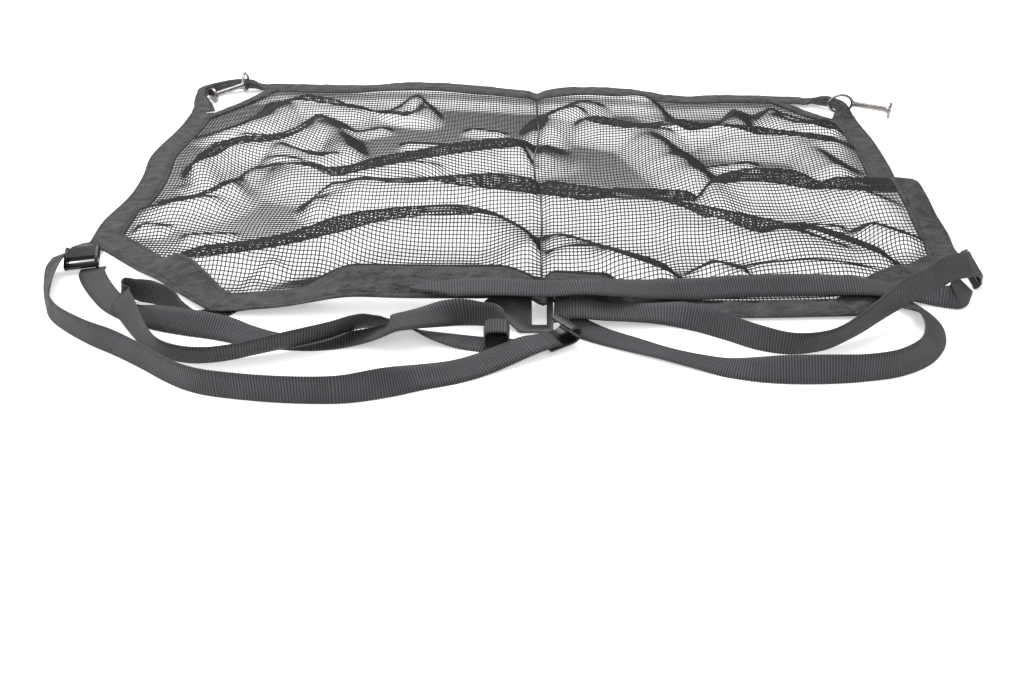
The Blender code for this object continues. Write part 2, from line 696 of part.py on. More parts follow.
def plate_hook(material, home):
    """The flat hook: a sheared plate with a webbing slot, leaning back on the front hem, its nose turned down."""
    bm = bmesh.new()
    outline = [bm.verts.new((x * MM, y * MM, 0)) for x, y in PLATE_OUTLINE]
    face = bm.faces.new(outline)
    grown = bmesh.ops.extrude_face_region(bm, geom=[face])["geom"]
    top = [item for item in grown if isinstance(item, bmesh.types.BMVert)]
    bmesh.ops.translate(bm, verts=top, vec=(0, 0, PLATE_THICK))
    bmesh.ops.transform(bm, matrix=PLATE_FRAME, verts=bm.verts)
    plate = add_part("plate_hook", bm, material, home)
    (x0, x1), (y0, y1) = SLOT
    cutter = bmesh.new()
    block(cutter, ((x1 - x0) * MM, (y1 - y0) * MM, 4 * PLATE_THICK),
          ((x0 + x1) / 2 * MM, (y0 + y1) / 2 * MM, 0.5 * PLATE_THICK), PLATE_FRAME)
    combine(plate, add_cutter("plate_slot", cutter, home), "DIFFERENCE")
    return plate


CURL_FRAME = facing((0.0235, -0.0565, 0.0040), (0.80, 0.60, 0), (0, 0, 1))
CURL_WIDTH = 0.028
# The curled hook's edge line in millimetres: along its plate and round its curl
CURL_LINE = ((-13, 1.2), (-4, 1.2), (4, 1.2), (12, 1.2), (17, 2.6), (20, 6), (20.5, 10), (18.5, 14), (14, 16), (8, 15.5))
CURL_THICK = 0.0024
CURL_SLOT = ((-9.5, -4.0), 0.026)


def curled_hook(material, home):
    """The second hook: a strip bent into a curl, with the webbing slot at its flat end."""
    bm = bmesh.new()
    bmesh.ops.create_grid(bm, x_segments=len(CURL_LINE) - 1, y_segments=1, size=0.5)
    order = sorted(bm.verts, key=lambda vert: (round(vert.co.x, 5), vert.co.y))
    for i, (x, z) in enumerate(CURL_LINE):
        order[2 * i].co = CURL_FRAME @ Vector((x * MM, -0.5 * CURL_WIDTH, z * MM))
        order[2 * i + 1].co = CURL_FRAME @ Vector((x * MM, 0.5 * CURL_WIDTH, z * MM))
    hook = add_part("curled_hook", bm, material, home)
    wall = hook.modifiers.new("strip thickness", "SOLIDIFY")
    wall.thickness = CURL_THICK
    wall.offset = 0
    (x0, x1), slot_width = CURL_SLOT
    cutter = bmesh.new()
    block(cutter, ((x1 - x0) * MM, slot_width - 0.004, 4 * CURL_THICK), ((x0 + x1) / 2 * MM, 0, 1.2 * MM), CURL_FRAME)
    combine(hook, add_cutter("curl_slot", cutter, home), "DIFFERENCE")
    return hook


def buckle(name, place, forward, upward, material, home):
    """A ladder buckle: a frame with two webbing slots; forward runs from its rear bar to its roller."""
    frame = facing(place, forward, upward)
    bm = bmesh.new()
    block(bm, (BUCKLE_LENGTH, BUCKLE_WIDTH, BUCKLE_HEIGHT), (0, 0, 0), frame)
    part = add_part(name, bm, material, home)
    opening = BUCKLE_WIDTH - 2 * BUCKLE_WALL
    bars = ((-0.0065, 0.0055), (0.0045, 0.0075))
    for k, (middle, width) in enumerate(bars):
        cutter = bmesh.new()
        block(cutter, (width, opening, 2 * BUCKLE_HEIGHT), (middle, 0, 0), frame)
        combine(part, add_cutter(f"{name}_slot_{k}", cutter, home), "DIFFERENCE")
    cutter = bmesh.new()
    block(cutter, (0.5 * BUCKLE_LENGTH, opening, BUCKLE_HEIGHT), (0.001, 0, 0.0068), frame)
    combine(part, add_cutter(f"{name}_hollow", cutter, home), "DIFFERENCE")
    return part


def end_loop(material, home):
    """The folded and sewn end of the left strap's tail: a short tube of webbing that stands open to the front."""
    bm = bmesh.new()
    line = ((-37, 2.6), (-20, 2.6), (-16.5, 6), (-16.5, 16), (-20, 19.4), (-33, 19.4), (-37, 16), (-37.6, 6))
    outer = [bm.verts.new((x * MM, -0.066, z * MM)) for x, z in line]
    middle = Vector((-0.027, -0.066, 0.011))
    inner = [bm.verts.new(vert.co + (middle - vert.co).normalized() * 1.3 * WEB_THICK) for vert in outer]
    for k in range(len(line)):
        after = (k + 1) % len(line)
        bm.faces.new((outer[k], outer[after], inner[after], inner[k]))
    grown = bmesh.ops.extrude_face_region(bm, geom=bm.faces[:])["geom"]
    far = [item for item in grown if isinstance(item, bmesh.types.BMVert)]
    bmesh.ops.translate(bm, verts=far, vec=(0, WEB_WIDTH, 0))
    return add_part("strap_left_end_loop", bm, material, home, smooth=False)


def main():
    clear_scene()
    home = bpy.data.objects.new("cargo_net_home", None)
    home.location = (-CENTRE[0], -CENTRE[1], 0)
    PARTS.objects.link(home)
    mesh_yarn = finish("mesh yarn", (0.030, 0.030, 0.032), 0.75)
    band_cloth = finish("band cloth", (0.035, 0.036, 0.040), 0.55)
    strap_cloth = finish("strap webbing", (0.040, 0.041, 0.044), 0.65)
    black_moulding = finish("black moulding", (0.012, 0.012, 0.013), 0.30)
    bright_steel = finish("dark polished steel", (0.20, 0.19, 0.18), 0.22, 1.0)
    net_mesh(mesh_yarn, home)
    bands(band_cloth, home)
    roll("corner_loop_left", LOOP_LEFT, band_cloth, home)
    roll("corner_loop_right", LOOP_RIGHT, band_cloth, home)
    eye_pin("pin_left", (-0.4180, 0.6955, 0.0147), (0, -1, 0), (-0.68, -0.73, -0.07), bright_steel, home)
    eye_pin("pin_right", (0.4395, 0.5910, 0.0147), (1, 0, 0), (0.94, -0.34, -0.07), bright_steel, home)
    for name, rows in (("strap_left_out", LEFT_OUT), ("strap_left_back", LEFT_HOOK), ("strap_left_tail", LEFT_TAIL),
                       ("strap_right_out", RIGHT_OUT), ("strap_right_back", RIGHT_BACK),
                       ("strap_right_tail", RIGHT_TAIL)):
        webbing(name, rows, strap_cloth, home)
    end_loop(strap_cloth, home)
    patch("buckle_tab_left", TAB_LEFT, band_cloth, home)
    patch("buckle_tab_right", TAB_RIGHT, band_cloth, home)
    plate_hook(black_moulding, home)
    curled_hook(black_moulding, home)
    buckle("buckle_left", (-0.4490, 0.1000, 0.0120), (0.17, -0.90, -0.38), (0, -0.35, 1), black_moulding, home)
    buckle("buckle_right", (0.4345, 0.0650, 0.0162), (-0.45, -0.89, 0.0), (0.70, -0.354, 0.62), black_moulding, home)


main()
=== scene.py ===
"""Looks of a cargo net lying open on a flat surface: a knitted mesh in a bound border, two webbing tie-down
straps, a plate hook, a curled hook, ladder buckles and eye pins.

The cloth is drawn flat in (u, v), u to the right and v away from the front hem, and lay() drops it over its
folds. Strap routes and folds are short tables in millimetres, measured from the middle of the front hem.
"""

import math
from collections import namedtuple

import bmesh
import bpy
import numpy as np
from mathutils import Matrix, Vector, noise


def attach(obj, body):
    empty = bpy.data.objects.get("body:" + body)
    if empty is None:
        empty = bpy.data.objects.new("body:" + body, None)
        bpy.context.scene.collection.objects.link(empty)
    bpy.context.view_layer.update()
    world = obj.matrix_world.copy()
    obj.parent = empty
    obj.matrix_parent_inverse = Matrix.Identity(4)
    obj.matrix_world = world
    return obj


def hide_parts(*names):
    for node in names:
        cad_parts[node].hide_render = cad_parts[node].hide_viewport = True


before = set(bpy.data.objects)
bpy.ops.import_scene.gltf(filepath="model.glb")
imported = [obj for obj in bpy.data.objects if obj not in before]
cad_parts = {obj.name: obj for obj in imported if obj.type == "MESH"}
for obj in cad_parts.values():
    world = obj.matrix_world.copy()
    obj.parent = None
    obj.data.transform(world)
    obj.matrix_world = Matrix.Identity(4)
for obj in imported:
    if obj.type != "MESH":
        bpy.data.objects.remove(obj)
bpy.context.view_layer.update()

MM = 0.001

# ---- driving sizes, in metres
NET_LEFT = -0.468
NET_RIGHT = 0.452
NET_DEPTH = 0.690
BAND_WIDTH = 0.033
BAND_THICK = 0.0024
CORNER_CUT_LEFT = (0.172, 0.152)  # length cut off the front hem, then off the side
CORNER_CUT_RIGHT = (0.144, 0.122)
SIDE_END_LEFT = 0.562  # where each side band gathers into its corner loop
SIDE_END_RIGHT = 0.598
BACK_END_LEFT = -0.380
BACK_END_RIGHT = 0.392
CELL_WIDTH = 0.0040  # the mesh's holes, from yarn to yarn
CELL_DEPTH = 0.0054
YARN = 0.0015
YARN_LIFT = 0.0009  # middle of the yarn above the cloth's underside

WEB_WIDTH = 0.025
WEB_THICK = 0.0014
RIB = 0.0024  # one cross rib of the webbing
RIB_RISE = 0.00013
WARP = 0.0008  # from one warp line of the webbing to the next
EDGE_WAVE = 0.0002  # how far the ribs move the webbing's edge out and in
TWILL = 0.0009  # the same pitch for the band cloth's twill
WEFT = 0.0006  # and for the weft of both
STITCH = 0.0031  # length of a stitch with the gap behind it
STITCH_INSET = 0.0042  # from a band's edge to the middle of its seam
SEAM_HALF_WIDTH = 0.00045
END_SEAMS = (0.0035, 0.0085)  # the two seams across a strap's sewn end, from that end
END_SEAM_HALF_WIDTH = 0.0006
END_STITCH = 0.0028
TAB_THICK = 0.002
PIN_RADIUS = 0.0037
PIN_LENGTH = 0.050
HEAD_RADIUS = 0.0105
HEAD_THICK = 0.004
EYE_WIDTH = 0.037
EYE_HEIGHT = 0.029
EYE_WIRE = 0.00225
PLATE_THICK = 0.003
PLATE_SLOPE = 30.0  # degrees that the plate hook leans back on the front hem
BUCKLE_WIDTH = 0.033
BUCKLE_LENGTH = 0.028
BUCKLE_WALL = 0.003
BUCKLE_HEIGHT = 0.008

# The middle of the part's footprint, so that the part is centred on its own origin
CENTRE = Vector((0.0136, 0.2835, 0))

# ---- the camera, worked out from the photograph
EYE_PLACE = (-0.0136, -1.1685, 0.4843)
EYE_TILT = 60.0  # degrees up from straight down
LENS = 37.94  # on a 36 mm sensor
SIDE_SHIFT = -15 / 1024  # share of the picture's width


def table(kind, *rows):
    """Rows of plain numbers, each with its columns named."""
    return tuple(kind(*row) for row in rows)


# ---- where the cloth lies: rows of place and offset, in metres
Side = namedtuple("Side", "v left right")
SIDES = table(
    Side,
    (0.00, -0.466, 0.449), (0.15, -0.465, 0.449), (0.20, -0.469, 0.455), (0.27, -0.463, 0.447),
    (0.33, -0.467, 0.443), (0.40, -0.478, 0.450), (0.50, -0.472, 0.456), (0.58, -0.474, 0.456),
    (0.69, -0.476, 0.458),
)
Hem = namedtuple("Hem", "u front back lift rise")
HEMS = table(
    Hem,
    (-0.470, 0.000, 0.728, 0.0028, 0.003), (-0.380, 0.000, 0.718, 0.0030, 0.004),
    (-0.300, -0.001, 0.700, 0.0040, 0.007), (-0.240, -0.002, 0.690, 0.0080, 0.010),
    (-0.180, 0.002, 0.694, 0.0150, 0.012), (-0.120, 0.002, 0.690, 0.0150, 0.012),
    (-0.055, 0.002, 0.680, 0.0150, 0.010), (0.008, 0.002, 0.666, 0.0140, 0.008),
    (0.072, -0.003, 0.672, 0.0070, 0.012), (0.140, -0.010, 0.662, 0.0028, 0.012),
    (0.210, -0.011, 0.644, 0.0026, 0.008), (0.300, -0.008, 0.650, 0.0026, 0.007),
    (0.392, -0.004, 0.650, 0.0028, 0.004), (0.460, 0.000, 0.652, 0.0030, 0.003),
)
LIFT_REACH = 0.060  # how far in from the front and back hems their lifts die out

# Fold crests in millimetres: from one end to the other, with a bow to the left of that way, and the width of
# the slope on the near side and on the far side
Fold = namedtuple("Fold", "x0 y0 x1 y1 bow height near far")
FOLDS = table(
    Fold,
    (-124, 299, 332, 95, 29, 30, 105, 32), (82, 256, 196, 243, 0, 24, 80, 30),
    (194, 232, 345, 278, 50, 27, 100, 32), (335, 280, 460, 262, 0, 27, 95, 36),
    (-231, 311, 11, 430, 15, 24, 95, 34), (-231, 119, -29, 183, 37, 28, 85, 32),
    (-62, 211, 10, 101, 12, 20, 60, 30), (-200, 37, 8, 37, 0, 31, 62, 50),
    (10, 37, 88, 32, 0, 25, 60, 45), (13, 112, 146, 37, 28, 17, 60, 30),
    (20, 158, 138, 60, 4, 15, 50, 30), (176, 92, 212, 52, 14, 11, 40, 25),
    (210, 80, 330, 64, 0, 12, 55, 35), (270, 178, 362, 84, 11, 19, 60, 32),
    (365, 191, 412, 142, 0, 11, 45, 30), (-406, 472, -340, 620, -23, 15, 45, 45),
    (-392, 445, -278, 534, -48, 19, 70, 34), (-279, 540, -224, 385, 3, 16, 40, 40),
    (-387, 307, -323, 428, 37, 17, 60, 34), (-323, 428, -228, 385, -13, 17, 60, 32),
    (-310, 353, -104, 339, -27, 21, 80, 32), (-225, 276, 3, 266, 0, 28, 85, 34),
    (-358, 92, -157, 185, -18, 25, 80, 34), (-244, 226, -169, 279, 0, 17, 50, 30),
    (-430, 232, -338, 310, -23, 11, 60, 32), (20, 466, 95, 610, 12, 17, 45, 45),
    (70, 530, 198, 460, 0, 19, 70, 32), (148, 478, 207, 291, 0, 20, 50, 45),
    (152, 519, 293, 575, -56, 17, 70, 32), (244, 478, 410, 439, 9, 17, 80, 32),
    (332, 577, 405, 504, -29, 15, 50, 32), (353, 443, 376, 344, 0, 13, 40, 40),
    (-345, 627, -216, 568, 0, 15, 60, 32), (-217, 574, -150, 628, -52, 13, 50, 32),
)
# Fine folds laid on the large ones, about a centimetre high
FINE_FOLDS = table(
    Fold,
    (-416, 264, -337, 286, 0, 9, 26, 14), (-409, 240, -349, 251, 0, 8, 26, 14),
    (-351, 286, -331, 366, 0, 10, 26, 14), (-366, 168, -314, 172, 0, 9, 26, 14),
    (-314, 86, -281, 94, 0, 7, 24, 14), (-271, 46, -247, 81, 0, 8, 24, 14),
    (-251, 245, -220, 279, 0, 9, 26, 14), (-321, 382, -247, 337, 4, 10, 28, 14),
    (-397, 337, -375, 424, 6, 11, 28, 16), (-376, 468, -324, 485, 0, 10, 26, 14),
    (-325, 483, -278, 552, 0, 11, 28, 16), (-319, 622, -258, 604, 0, 8, 26, 14),
    (-196, 578, -154, 638, 0, 9, 26, 16), (-239, 491, -189, 518, 0, 9, 26, 14),
    (-78, 515, -31, 495, 0, 8, 26, 14), (-22, 413, 10, 357, 0, 9, 26, 14),
    (-422, 195, -388, 189, 0, 10, 26, 14), (-160, 457, -102, 449, 0, 9, 26, 14),
    (-242, 144, -204, 174, 0, 7, 24, 14), (-165, 337, -102, 337, 0, 8, 26, 14),
    (26, 533, 77, 561, 0, 10, 26, 14), (158, 631, 206, 488, 6, 12, 34, 20),
    (343, 582, 414, 497, 0, 11, 28, 16), (307, 195, 343, 187, 0, 9, 26, 14),
    (366, 180, 399, 144, 0, 9, 26, 14), (181, 88, 222, 49, 0, 8, 24, 14),
    (227, 78, 345, 69, 0, 7, 22, 12), (74, 98, 145, 52, 0, 9, 26, 14),
    (205, 485, 311, 468, 0, 8, 24, 14), (219, 366, 281, 387, 0, 8, 26, 14),
    (368, 246, 414, 213, 0, 8, 26, 14),
)
FINE_SHARE = 0.62  # how much of each fine fold's height is laid on
CREST_POWER = 4  # how sharply one crest gives way to the next
CREST_FADE = 0.18  # share of a crest's length over which each end dies out
CREASE_X = 0.015  # the storage fold down the middle of the net
CREASE_DEPTH = 0.006
CREASE_HALF_WIDTH = 0.011

# ---- strap routes in millimetres: the lower edge of the webbing, its height, and the lean of the webbing in
# degrees from flat on its left side (0) through on edge (90) to flat on its right side (180)
Route = namedtuple("Route", "x y lift lean")
LEFT_OUT = table(
    Route,
    (-270, 34, 0, 0), (-288, 27, 0, 0), (-297, 15, 0, 0), (-306, 8.5, 0, 12), (-314, 6.5, 0, 44),
    (-323, 8, 0, 72), (-333, 12, 0, 84), (-344, 17, 0, 89), (-356, 23, 0, 91), (-368, 27, 0, 86),
    (-380, 29, 2.8, 76), (-389, 24, 3, 52), (-391, 13, 3.6, 42), (-385, 0, 3.6, 47),
    (-376, -13, 3.2, 52), (-365, -28, 1.6, 60), (-349, -48, 0, 74), (-330, -67, 0, 92),
    (-311, -80, 0, 108), (-291, -86, 0, 115), (-273, -85, 0, 119), (-257, -80.5, 0, 120),
    (-242, -75, 0.8, 120), (-229, -71, 1.8, 119), (-213, -65.5, 2.8, 118), (-195, -58, 3.2, 117),
    (-177, -49, 3.8, 118), (-162, -39.5, 4.8, 120), (-149, -31, 3.4, 123), (-136, -27, 1.2, 126),
    (-127, -25.5, 0, 130), (-117, -25.5, 0, 136), (-105, -27.5, 0, 142), (-94, -30.5, 0, 150),
    (-77, -35, 0, 165), (-58, -39, 0, 176), (-35, -43.5, 0, 180), (-8, -47, 0, 180),
    (7, -47, 0, 180),
)
LEFT_HOOK = table(
    Route,
    (31, -68, 7.2, 178), (18.4, -75.5, 7, 176), (4, -84, 5.6, 168), (-31, -106, 1, 163),
    (-58, -120, 0, 160), (-86, -130, 0, 152), (-110, -140, 0, 130), (-135, -147, 0, 106),
    (-160, -150, 0, 95), (-205, -148, 0, 92), (-253, -140, 0, 90), (-280, -131, 0, 90),
    (-304, -116, 0, 92), (-332, -94, 0, 94), (-361, -73, 0, 95), (-391, -53, 0, 90),
    (-422, -28, 0, 88), (-443, -6, 0, 97), (-456, 18, 0, 110), (-469, 46, 0, 124),
    (-479, 74, 2, 138), (-482, 89, 6, 150), (-479, 101, 10.4, 156),
)
LEFT_TAIL = table(
    Route,
    (-449, 91, 1.6, 4), (-446, 77, 1, 6), (-433, 54, 0, 4), (-414, 27, 0, 2), (-398, 8, 0, 3),
    (-377, -9, 0, 8), (-344, -27, 0, 34), (-313, -38, 0, 45), (-283, -46, 0, 36),
    (-256, -55, 0, 14), (-228, -62, 0, 3), (-195, -66, 0, 2), (-172, -64, 0.3, 2),
    (-152, -62, 3.2, 2), (-138, -64, 8.4, 3), (-126, -68, 15.4, 3), (-115, -67.5, 20.3, 4),
    (-104, -62.5, 19.6, 9), (-92, -54, 16.4, 15), (-77, -41, 10.4, 30), (-60, -28.5, 4.6, 66),
    (-43, -23, 2, 92), (-29, -28, 2, 90), (-21.2, -40.4, 3, 90),
)
RIGHT_OUT = table(
    Route,
    (318, 34, 0, 180), (340, 37, 0, 177), (362, 30, 0, 173), (374, 10, 0, 165), (380, -14, 0, 150),
    (378, -38, 0, 146), (368, -64, 0, 138), (347, -90, 0, 118), (317, -108, 0, 102),
    (285, -116, 0, 98), (255, -120, 0, 110), (226, -121, 0, 130), (197, -118, 0, 152),
    (169, -110, 0, 170), (142, -98, 2, 182), (114, -84, 3, 186), (86, -69, 2, 180),
    (62, -55, 1, 176), (44, -43, 1, 170), (30, -32, 1, 162),
)
RIGHT_BACK = table(
    Route,
    (24.4, -26.6, 6, 30), (34, -27, 9, 26), (46, -27, 11, 20), (70, -27, 9, 12), (96, -26, 7, 12),
    (123, -24, 3, 24), (150, -30, 0, 58), (178, -46, 0, 84), (203, -63, 0, 90), (231, -71, 0, 103),
    (262, -64, 0, 106), (295, -44, 3, 98), (325, -23, 9, 86), (352, -5, 14, 72), (380, 14, 15, 65),
    (405, 32, 19, 60), (429, 45, 17, 54), (440, 54, 14, 52),
)
RIGHT_TAIL = table(
    Route,
    (432, 45, 1, 143), (425, 31, 1, 142), (417, 17, 1, 138), (408, 10, 1, 138), (399, 11, 1, 144),
    (388, 15, 1, 156), (374, 18, 3, 166), (354, 19, 7, 172), (328, 20, 10, 170), (300, 22, 9, 158),
    (263, 22, 8, 150), (231, 21, 8, 150), (199, 19, 8, 150), (168, 15, 8, 152), (138, 12, 9.6, 156),
    (107, 3, 15.4, 161), (78, -6, 22.6, 166), (50, -8, 25.4, 174), (20, -13, 26, 172),
    (-16, -12, 26.6, 170), (-45, -12, 26.8, 168), (-73, -14, 26, 170), (-106, -18, 23, 174),
)

# Corner loops, where the band gathers into a roll: middle of the roll, its height, width and thickness
Roll = namedtuple("Roll", "x y z wide thick")
LOOP_LEFT = table(
    Roll,
    (-457, 596.8, 1.2, 32, 2.4), (-461, 614, 5.0, 25, 6), (-468, 632, 10.0, 17, 12),
    (-471, 652, 11.8, 14, 14), (-460, 674, 11.8, 14, 14), (-443, 689, 11.8, 14, 14),
    (-424, 695, 11.8, 14, 14), (-406, 697, 10.5, 17, 12), (-397, 699.5, 6.5, 25, 7),
    (-383, 700.5, 4.6, 33, 3),
)
LOOP_RIGHT = table(
    Roll,
    (440, 566, 1.2, 32, 2.4), (440.5, 574, 5.0, 24, 7), (440, 583, 10.5, 17, 13),
    (439, 592, 11.8, 14, 14), (434, 603, 11.8, 14, 14), (424, 613, 11.8, 14, 14),
    (416, 621, 10.0, 17, 12), (408, 629.5, 6.5, 24, 7), (394, 632.5, 4.6, 33, 3),
)

# Corners of each buckle's tab in millimetres: two at the band, then two at the buckle
TAB_LEFT = ((-464.6, 158.9, 1.4), (-441.4, 136.6, 1.4), (-439.4, 117.4, 15.4), (-464.0, 112.7, 16.4))
TAB_RIGHT = ((452.2, 117.8, 2.0), (442.2, 109.0, 2.0), (434.4, 82.0, 25.2), (448.4, 75.2, 6.6))


# ---- finishes

class Value:
    """A value in a finish; the usual operators add its Math nodes."""

    def __init__(self, paint, socket):
        self.paint, self.socket = paint, socket

    def maths(self, operation, *inputs):
        return self.paint.node("ShaderNodeMath", {"operation": operation}, *inputs)

    def __add__(self, other):
        return self.maths("ADD", self, other)

    def __radd__(self, other):
        return self.maths("ADD", other, self)

    def __sub__(self, other):
        return self.maths("SUBTRACT", self, other)

    def __mul__(self, other):
        return self.maths("MULTIPLY", self, other)

    def __truediv__(self, other):
        return self.maths("DIVIDE", self, other)

    def __lt__(self, other):
        return self.maths("LESS_THAN", self, other)

    def waves(self, pitch, start=0.0):
        """A sine wave from -1 to 1 with one crest to each pitch."""
        turn = self * (2 * math.pi / pitch)
        return self.maths("SINE", turn + start if start else turn)

    def near(self, place, reach):
        """1 where the value is within a reach of a place, and 0 elsewhere."""
        return self.maths("ABSOLUTE", self - place) < reach

    def dashes(self, pitch, share):
        """1 over a share of each pitch, and 0 over the rest."""
        return self.maths("FRACT", self / pitch) < share

    def within(self):
        return self.maths("MINIMUM", self.maths("MAXIMUM", self, 0.0), 1.0)

    def steeper(self, rate):
        """More contrast round the middle."""
        return ((self - 0.5) * rate + 0.5).within()


class Paint:
    """A finish made of nodes, joined to one shader. Sockets named here keep one value all over."""

    def __init__(self, name, **fixed):
        self.material = bpy.data.materials.new(name)
        self.material.use_nodes = True
        self.tree = self.material.node_tree
        self.shader = self.tree.nodes["Principled BSDF"]
        for socket, value in fixed.items():
            self.shader.inputs[socket.replace("_", " ")].default_value = value

    def node(self, kind, settings=None, *values, pick=0, **named):
        made = self.tree.nodes.new(kind)
        for key, value in (settings or {}).items():
            setattr(made, key, value)
        wanted = list(zip(made.inputs, values))
        wanted += [(made.inputs[key.replace("_", " ")], value) for key, value in named.items()]
        for socket, value in wanted:
            if isinstance(value, Value):
                self.tree.links.new(value.socket, socket)
            elif value is not None:
                socket.default_value = value
        return Value(self, made.outputs[pick])

    def place(self):
        """The place on the piece, in metres."""
        return self.node("ShaderNodeTexCoord", pick=3)

    def along_and_across(self):
        """The piece's own UV map, in metres: along the cloth, then across it."""
        spot = self.node("ShaderNodeUVMap", {"uv_map": "cloth"})
        return tuple(self.node("ShaderNodeSeparateXYZ", None, spot, pick=axis) for axis in (0, 1))

    def speckle(self, where, scale, detail=3.0, roughness=0.55):
        return self.node("ShaderNodeTexNoise", Vector=where, Scale=scale, Detail=detail, Roughness=roughness)

    def stretched(self, where, scales):
        return self.node("ShaderNodeMapping", None, where, None, None, scales)

    def blend(self, share, first, second):
        return self.node("ShaderNodeMixRGB", None, share, first, second)

    def relief(self, height, distance, strength):
        return self.node("ShaderNodeBump", Strength=strength, Distance=distance, Height=height)

    def set(self, **links):
        for name, value in links.items():
            self.tree.links.new(value.socket, self.shader.inputs[name.replace("_", " ")])
        return self.material


def grey(level, warmth=0.0):
    """A grey, a little warm, or a little cool where the warmth is below 0."""
    return (level * (1 + warmth), level * (1 - 0.4 * abs(warmth)), level * (1 - warmth), 1.0)


def knitted_yarn():
    """Matt yarn with fine fibres and slow patches."""
    paint = Paint("mesh yarn", Roughness=0.62, Specular_IOR_Level=0.3)
    where = paint.place()
    fibres = paint.speckle(where, 900, 2)
    patches = paint.speckle(where, 14, 3)
    shade = paint.blend(patches * 0.6 + fibres * 0.4, grey(0.007, -0.05), grey(0.034, -0.05))
    return paint.set(Base_Color=shade, Normal=paint.relief(fibres, 0.0004, 0.6))


def bound_cloth():
    """Satin band cloth: a fine twill, soft crumples with painted satin sheen and shade on them, and a row of
    stitches near each edge.
    """
    paint = Paint("band cloth", Specular_IOR_Level=0.36, Sheen_Weight=0.04, Sheen_Roughness=0.35)
    where = paint.place()
    along, across = paint.along_and_across()
    twill = (along + across).waves(TWILL)
    weft = across.waves(WEFT)
    crumple = paint.speckle(paint.stretched(where, (1.0, 1.6, 1.0)), 70, 4, 0.6).steeper(2.9)
    fine_mottle = paint.speckle(where, 240, 3)
    far_seam = BAND_WIDTH - STITCH_INSET
    seam = across.near(STITCH_INSET, SEAM_HALF_WIDTH) + across.near(far_seam, SEAM_HALF_WIDTH)
    thread = seam * along.dashes(STITCH, 0.72)
    # Painted satin sheen and shade: the base colour runs lighter and darker with the crumples and a finer
    # mottle.
    shade = paint.blend(crumple * 0.65 + fine_mottle * 0.35, grey(0.007, -0.06), grey(0.078, -0.06))
    # The seam is painted darker: partly dark thread, partly painted shade in its groove between the stitches.
    shade = paint.blend(seam * 0.5 + thread * 0.3, shade, grey(0.004))
    rough = 0.42 + fine_mottle * 0.25
    relief = twill * 0.05 + weft * 0.03 + crumple * 1.6 + thread * 0.35 - seam * 0.5
    return paint.set(Base_Color=shade, Roughness=rough, Normal=paint.relief(relief, 0.0012, 0.9))


def ribbed_webbing():
    """Webbing with cross ribs, painted lighter on their crests and darker in their grooves, fine warp lines
    and lightly fuzzed edges.
    """
    paint = Paint("strap webbing", Specular_IOR_Level=0.32, Sheen_Weight=0.05, Sheen_Roughness=0.45)
    where = paint.place()
    along, across = paint.along_and_across()
    ribs = along.waves(RIB, math.pi / 2) * 0.5 + 0.5
    warp = across.waves(WARP) * 0.5 + 0.5
    weft = along.waves(WEFT) * 0.5 + 0.5
    patches = paint.speckle(where, 30, 3)
    fuzz = paint.speckle(where, 1300, 2)
    # Painted shade and highlight: the ribs are lighter on their crests and darker in their grooves, and a
    # painted sheen makes the colour a little lighter where warp and weft crests meet. Patches and fuzz are
    # random tone.
    tone = ribs.steeper(1.5) * 0.6 + warp * weft * 0.15 + patches.steeper(2.0) * 0.2 + fuzz * 0.1
    shade = paint.blend(tone, grey(0.006, -0.06), grey(0.100, -0.06))
    seams = along.near(END_SEAMS[0], END_SEAM_HALF_WIDTH) + along.near(END_SEAMS[1], END_SEAM_HALF_WIDTH)
    thread = seams * across.dashes(END_STITCH, 0.7)
    shade = paint.blend(seams * 0.7, shade, grey(0.004))
    rough = 0.5 + fuzz * 0.2
    relief = ribs * 1.2 + warp * 0.16 + weft * 0.12 + fuzz * 0.15 + thread * 0.8 - seams * 0.5
    return paint.set(Base_Color=shade, Roughness=rough, Normal=paint.relief(relief, 0.0005, 0.9))


def moulding(name, dark, light, rough, grain):
    """Moulded black plastic: a fine grain, slight flow marks and a colour a little lighter along its sharp
    edges.
    """
    paint = Paint(name, Coat_Weight=0.12, Coat_Roughness=0.15, Specular_IOR_Level=0.4)
    where = paint.place()
    pits = paint.speckle(where, grain, 3)
    flow = paint.speckle(paint.stretched(where, (1, 1, 3)), 60, 3)
    pointiness = paint.node("ShaderNodeNewGeometry", pick=7)
    # Base colour a little lighter along the sharp convex edges.
    edges = ((pointiness - 0.52) * 6).within()
    shade = paint.blend(flow * 0.5 + edges * 0.5, grey(dark), grey(light))
    return paint.set(Base_Color=shade, Roughness=rough + pits * 0.16 - 0.06,
                     Normal=paint.relief(pits, 0.0002, 0.35))


def polished_steel():
    """Dark steel, brushed along one way and a little tarnished."""
    paint = Paint("dark polished steel", Metallic=1.0)
    where = paint.place()
    brushed = paint.speckle(paint.stretched(where, (1.0, 1.0, 12.0)), 420, 3)
    tarnish = paint.speckle(where, 110, 4)
    shade = paint.blend(tarnish, grey(0.12, 0.06), grey(0.42, 0.04))
    return paint.set(Base_Color=shade, Roughness=0.16 + brushed * 0.2,
                     Normal=paint.relief(brushed, 0.0002, 0.3))


def pale_floor():
    paint = Paint("pale floor", Roughness=0.7, Specular_IOR_Level=0.2,
                  Emission_Color=grey(1.0), Emission_Strength=0.42)
    clouds = paint.speckle(paint.place(), 2.0, 2)
    return paint.set(Base_Color=paint.blend(clouds, grey(0.90), grey(0.93)))


# ---- curves through a table's rows

def hermite(p0, p1, p2, p3, t):
    """Smooth blend from p1 to p2 that follows the slope of the rows on each side."""
    a = 2 * p1
    b = p2 - p0
    c = 2 * p0 - 5 * p1 + 4 * p2 - p3
    d = 3 * (p1 - p2) + p3 - p0
    return 0.5 * (a + b * t + c * t * t + d * t * t * t)


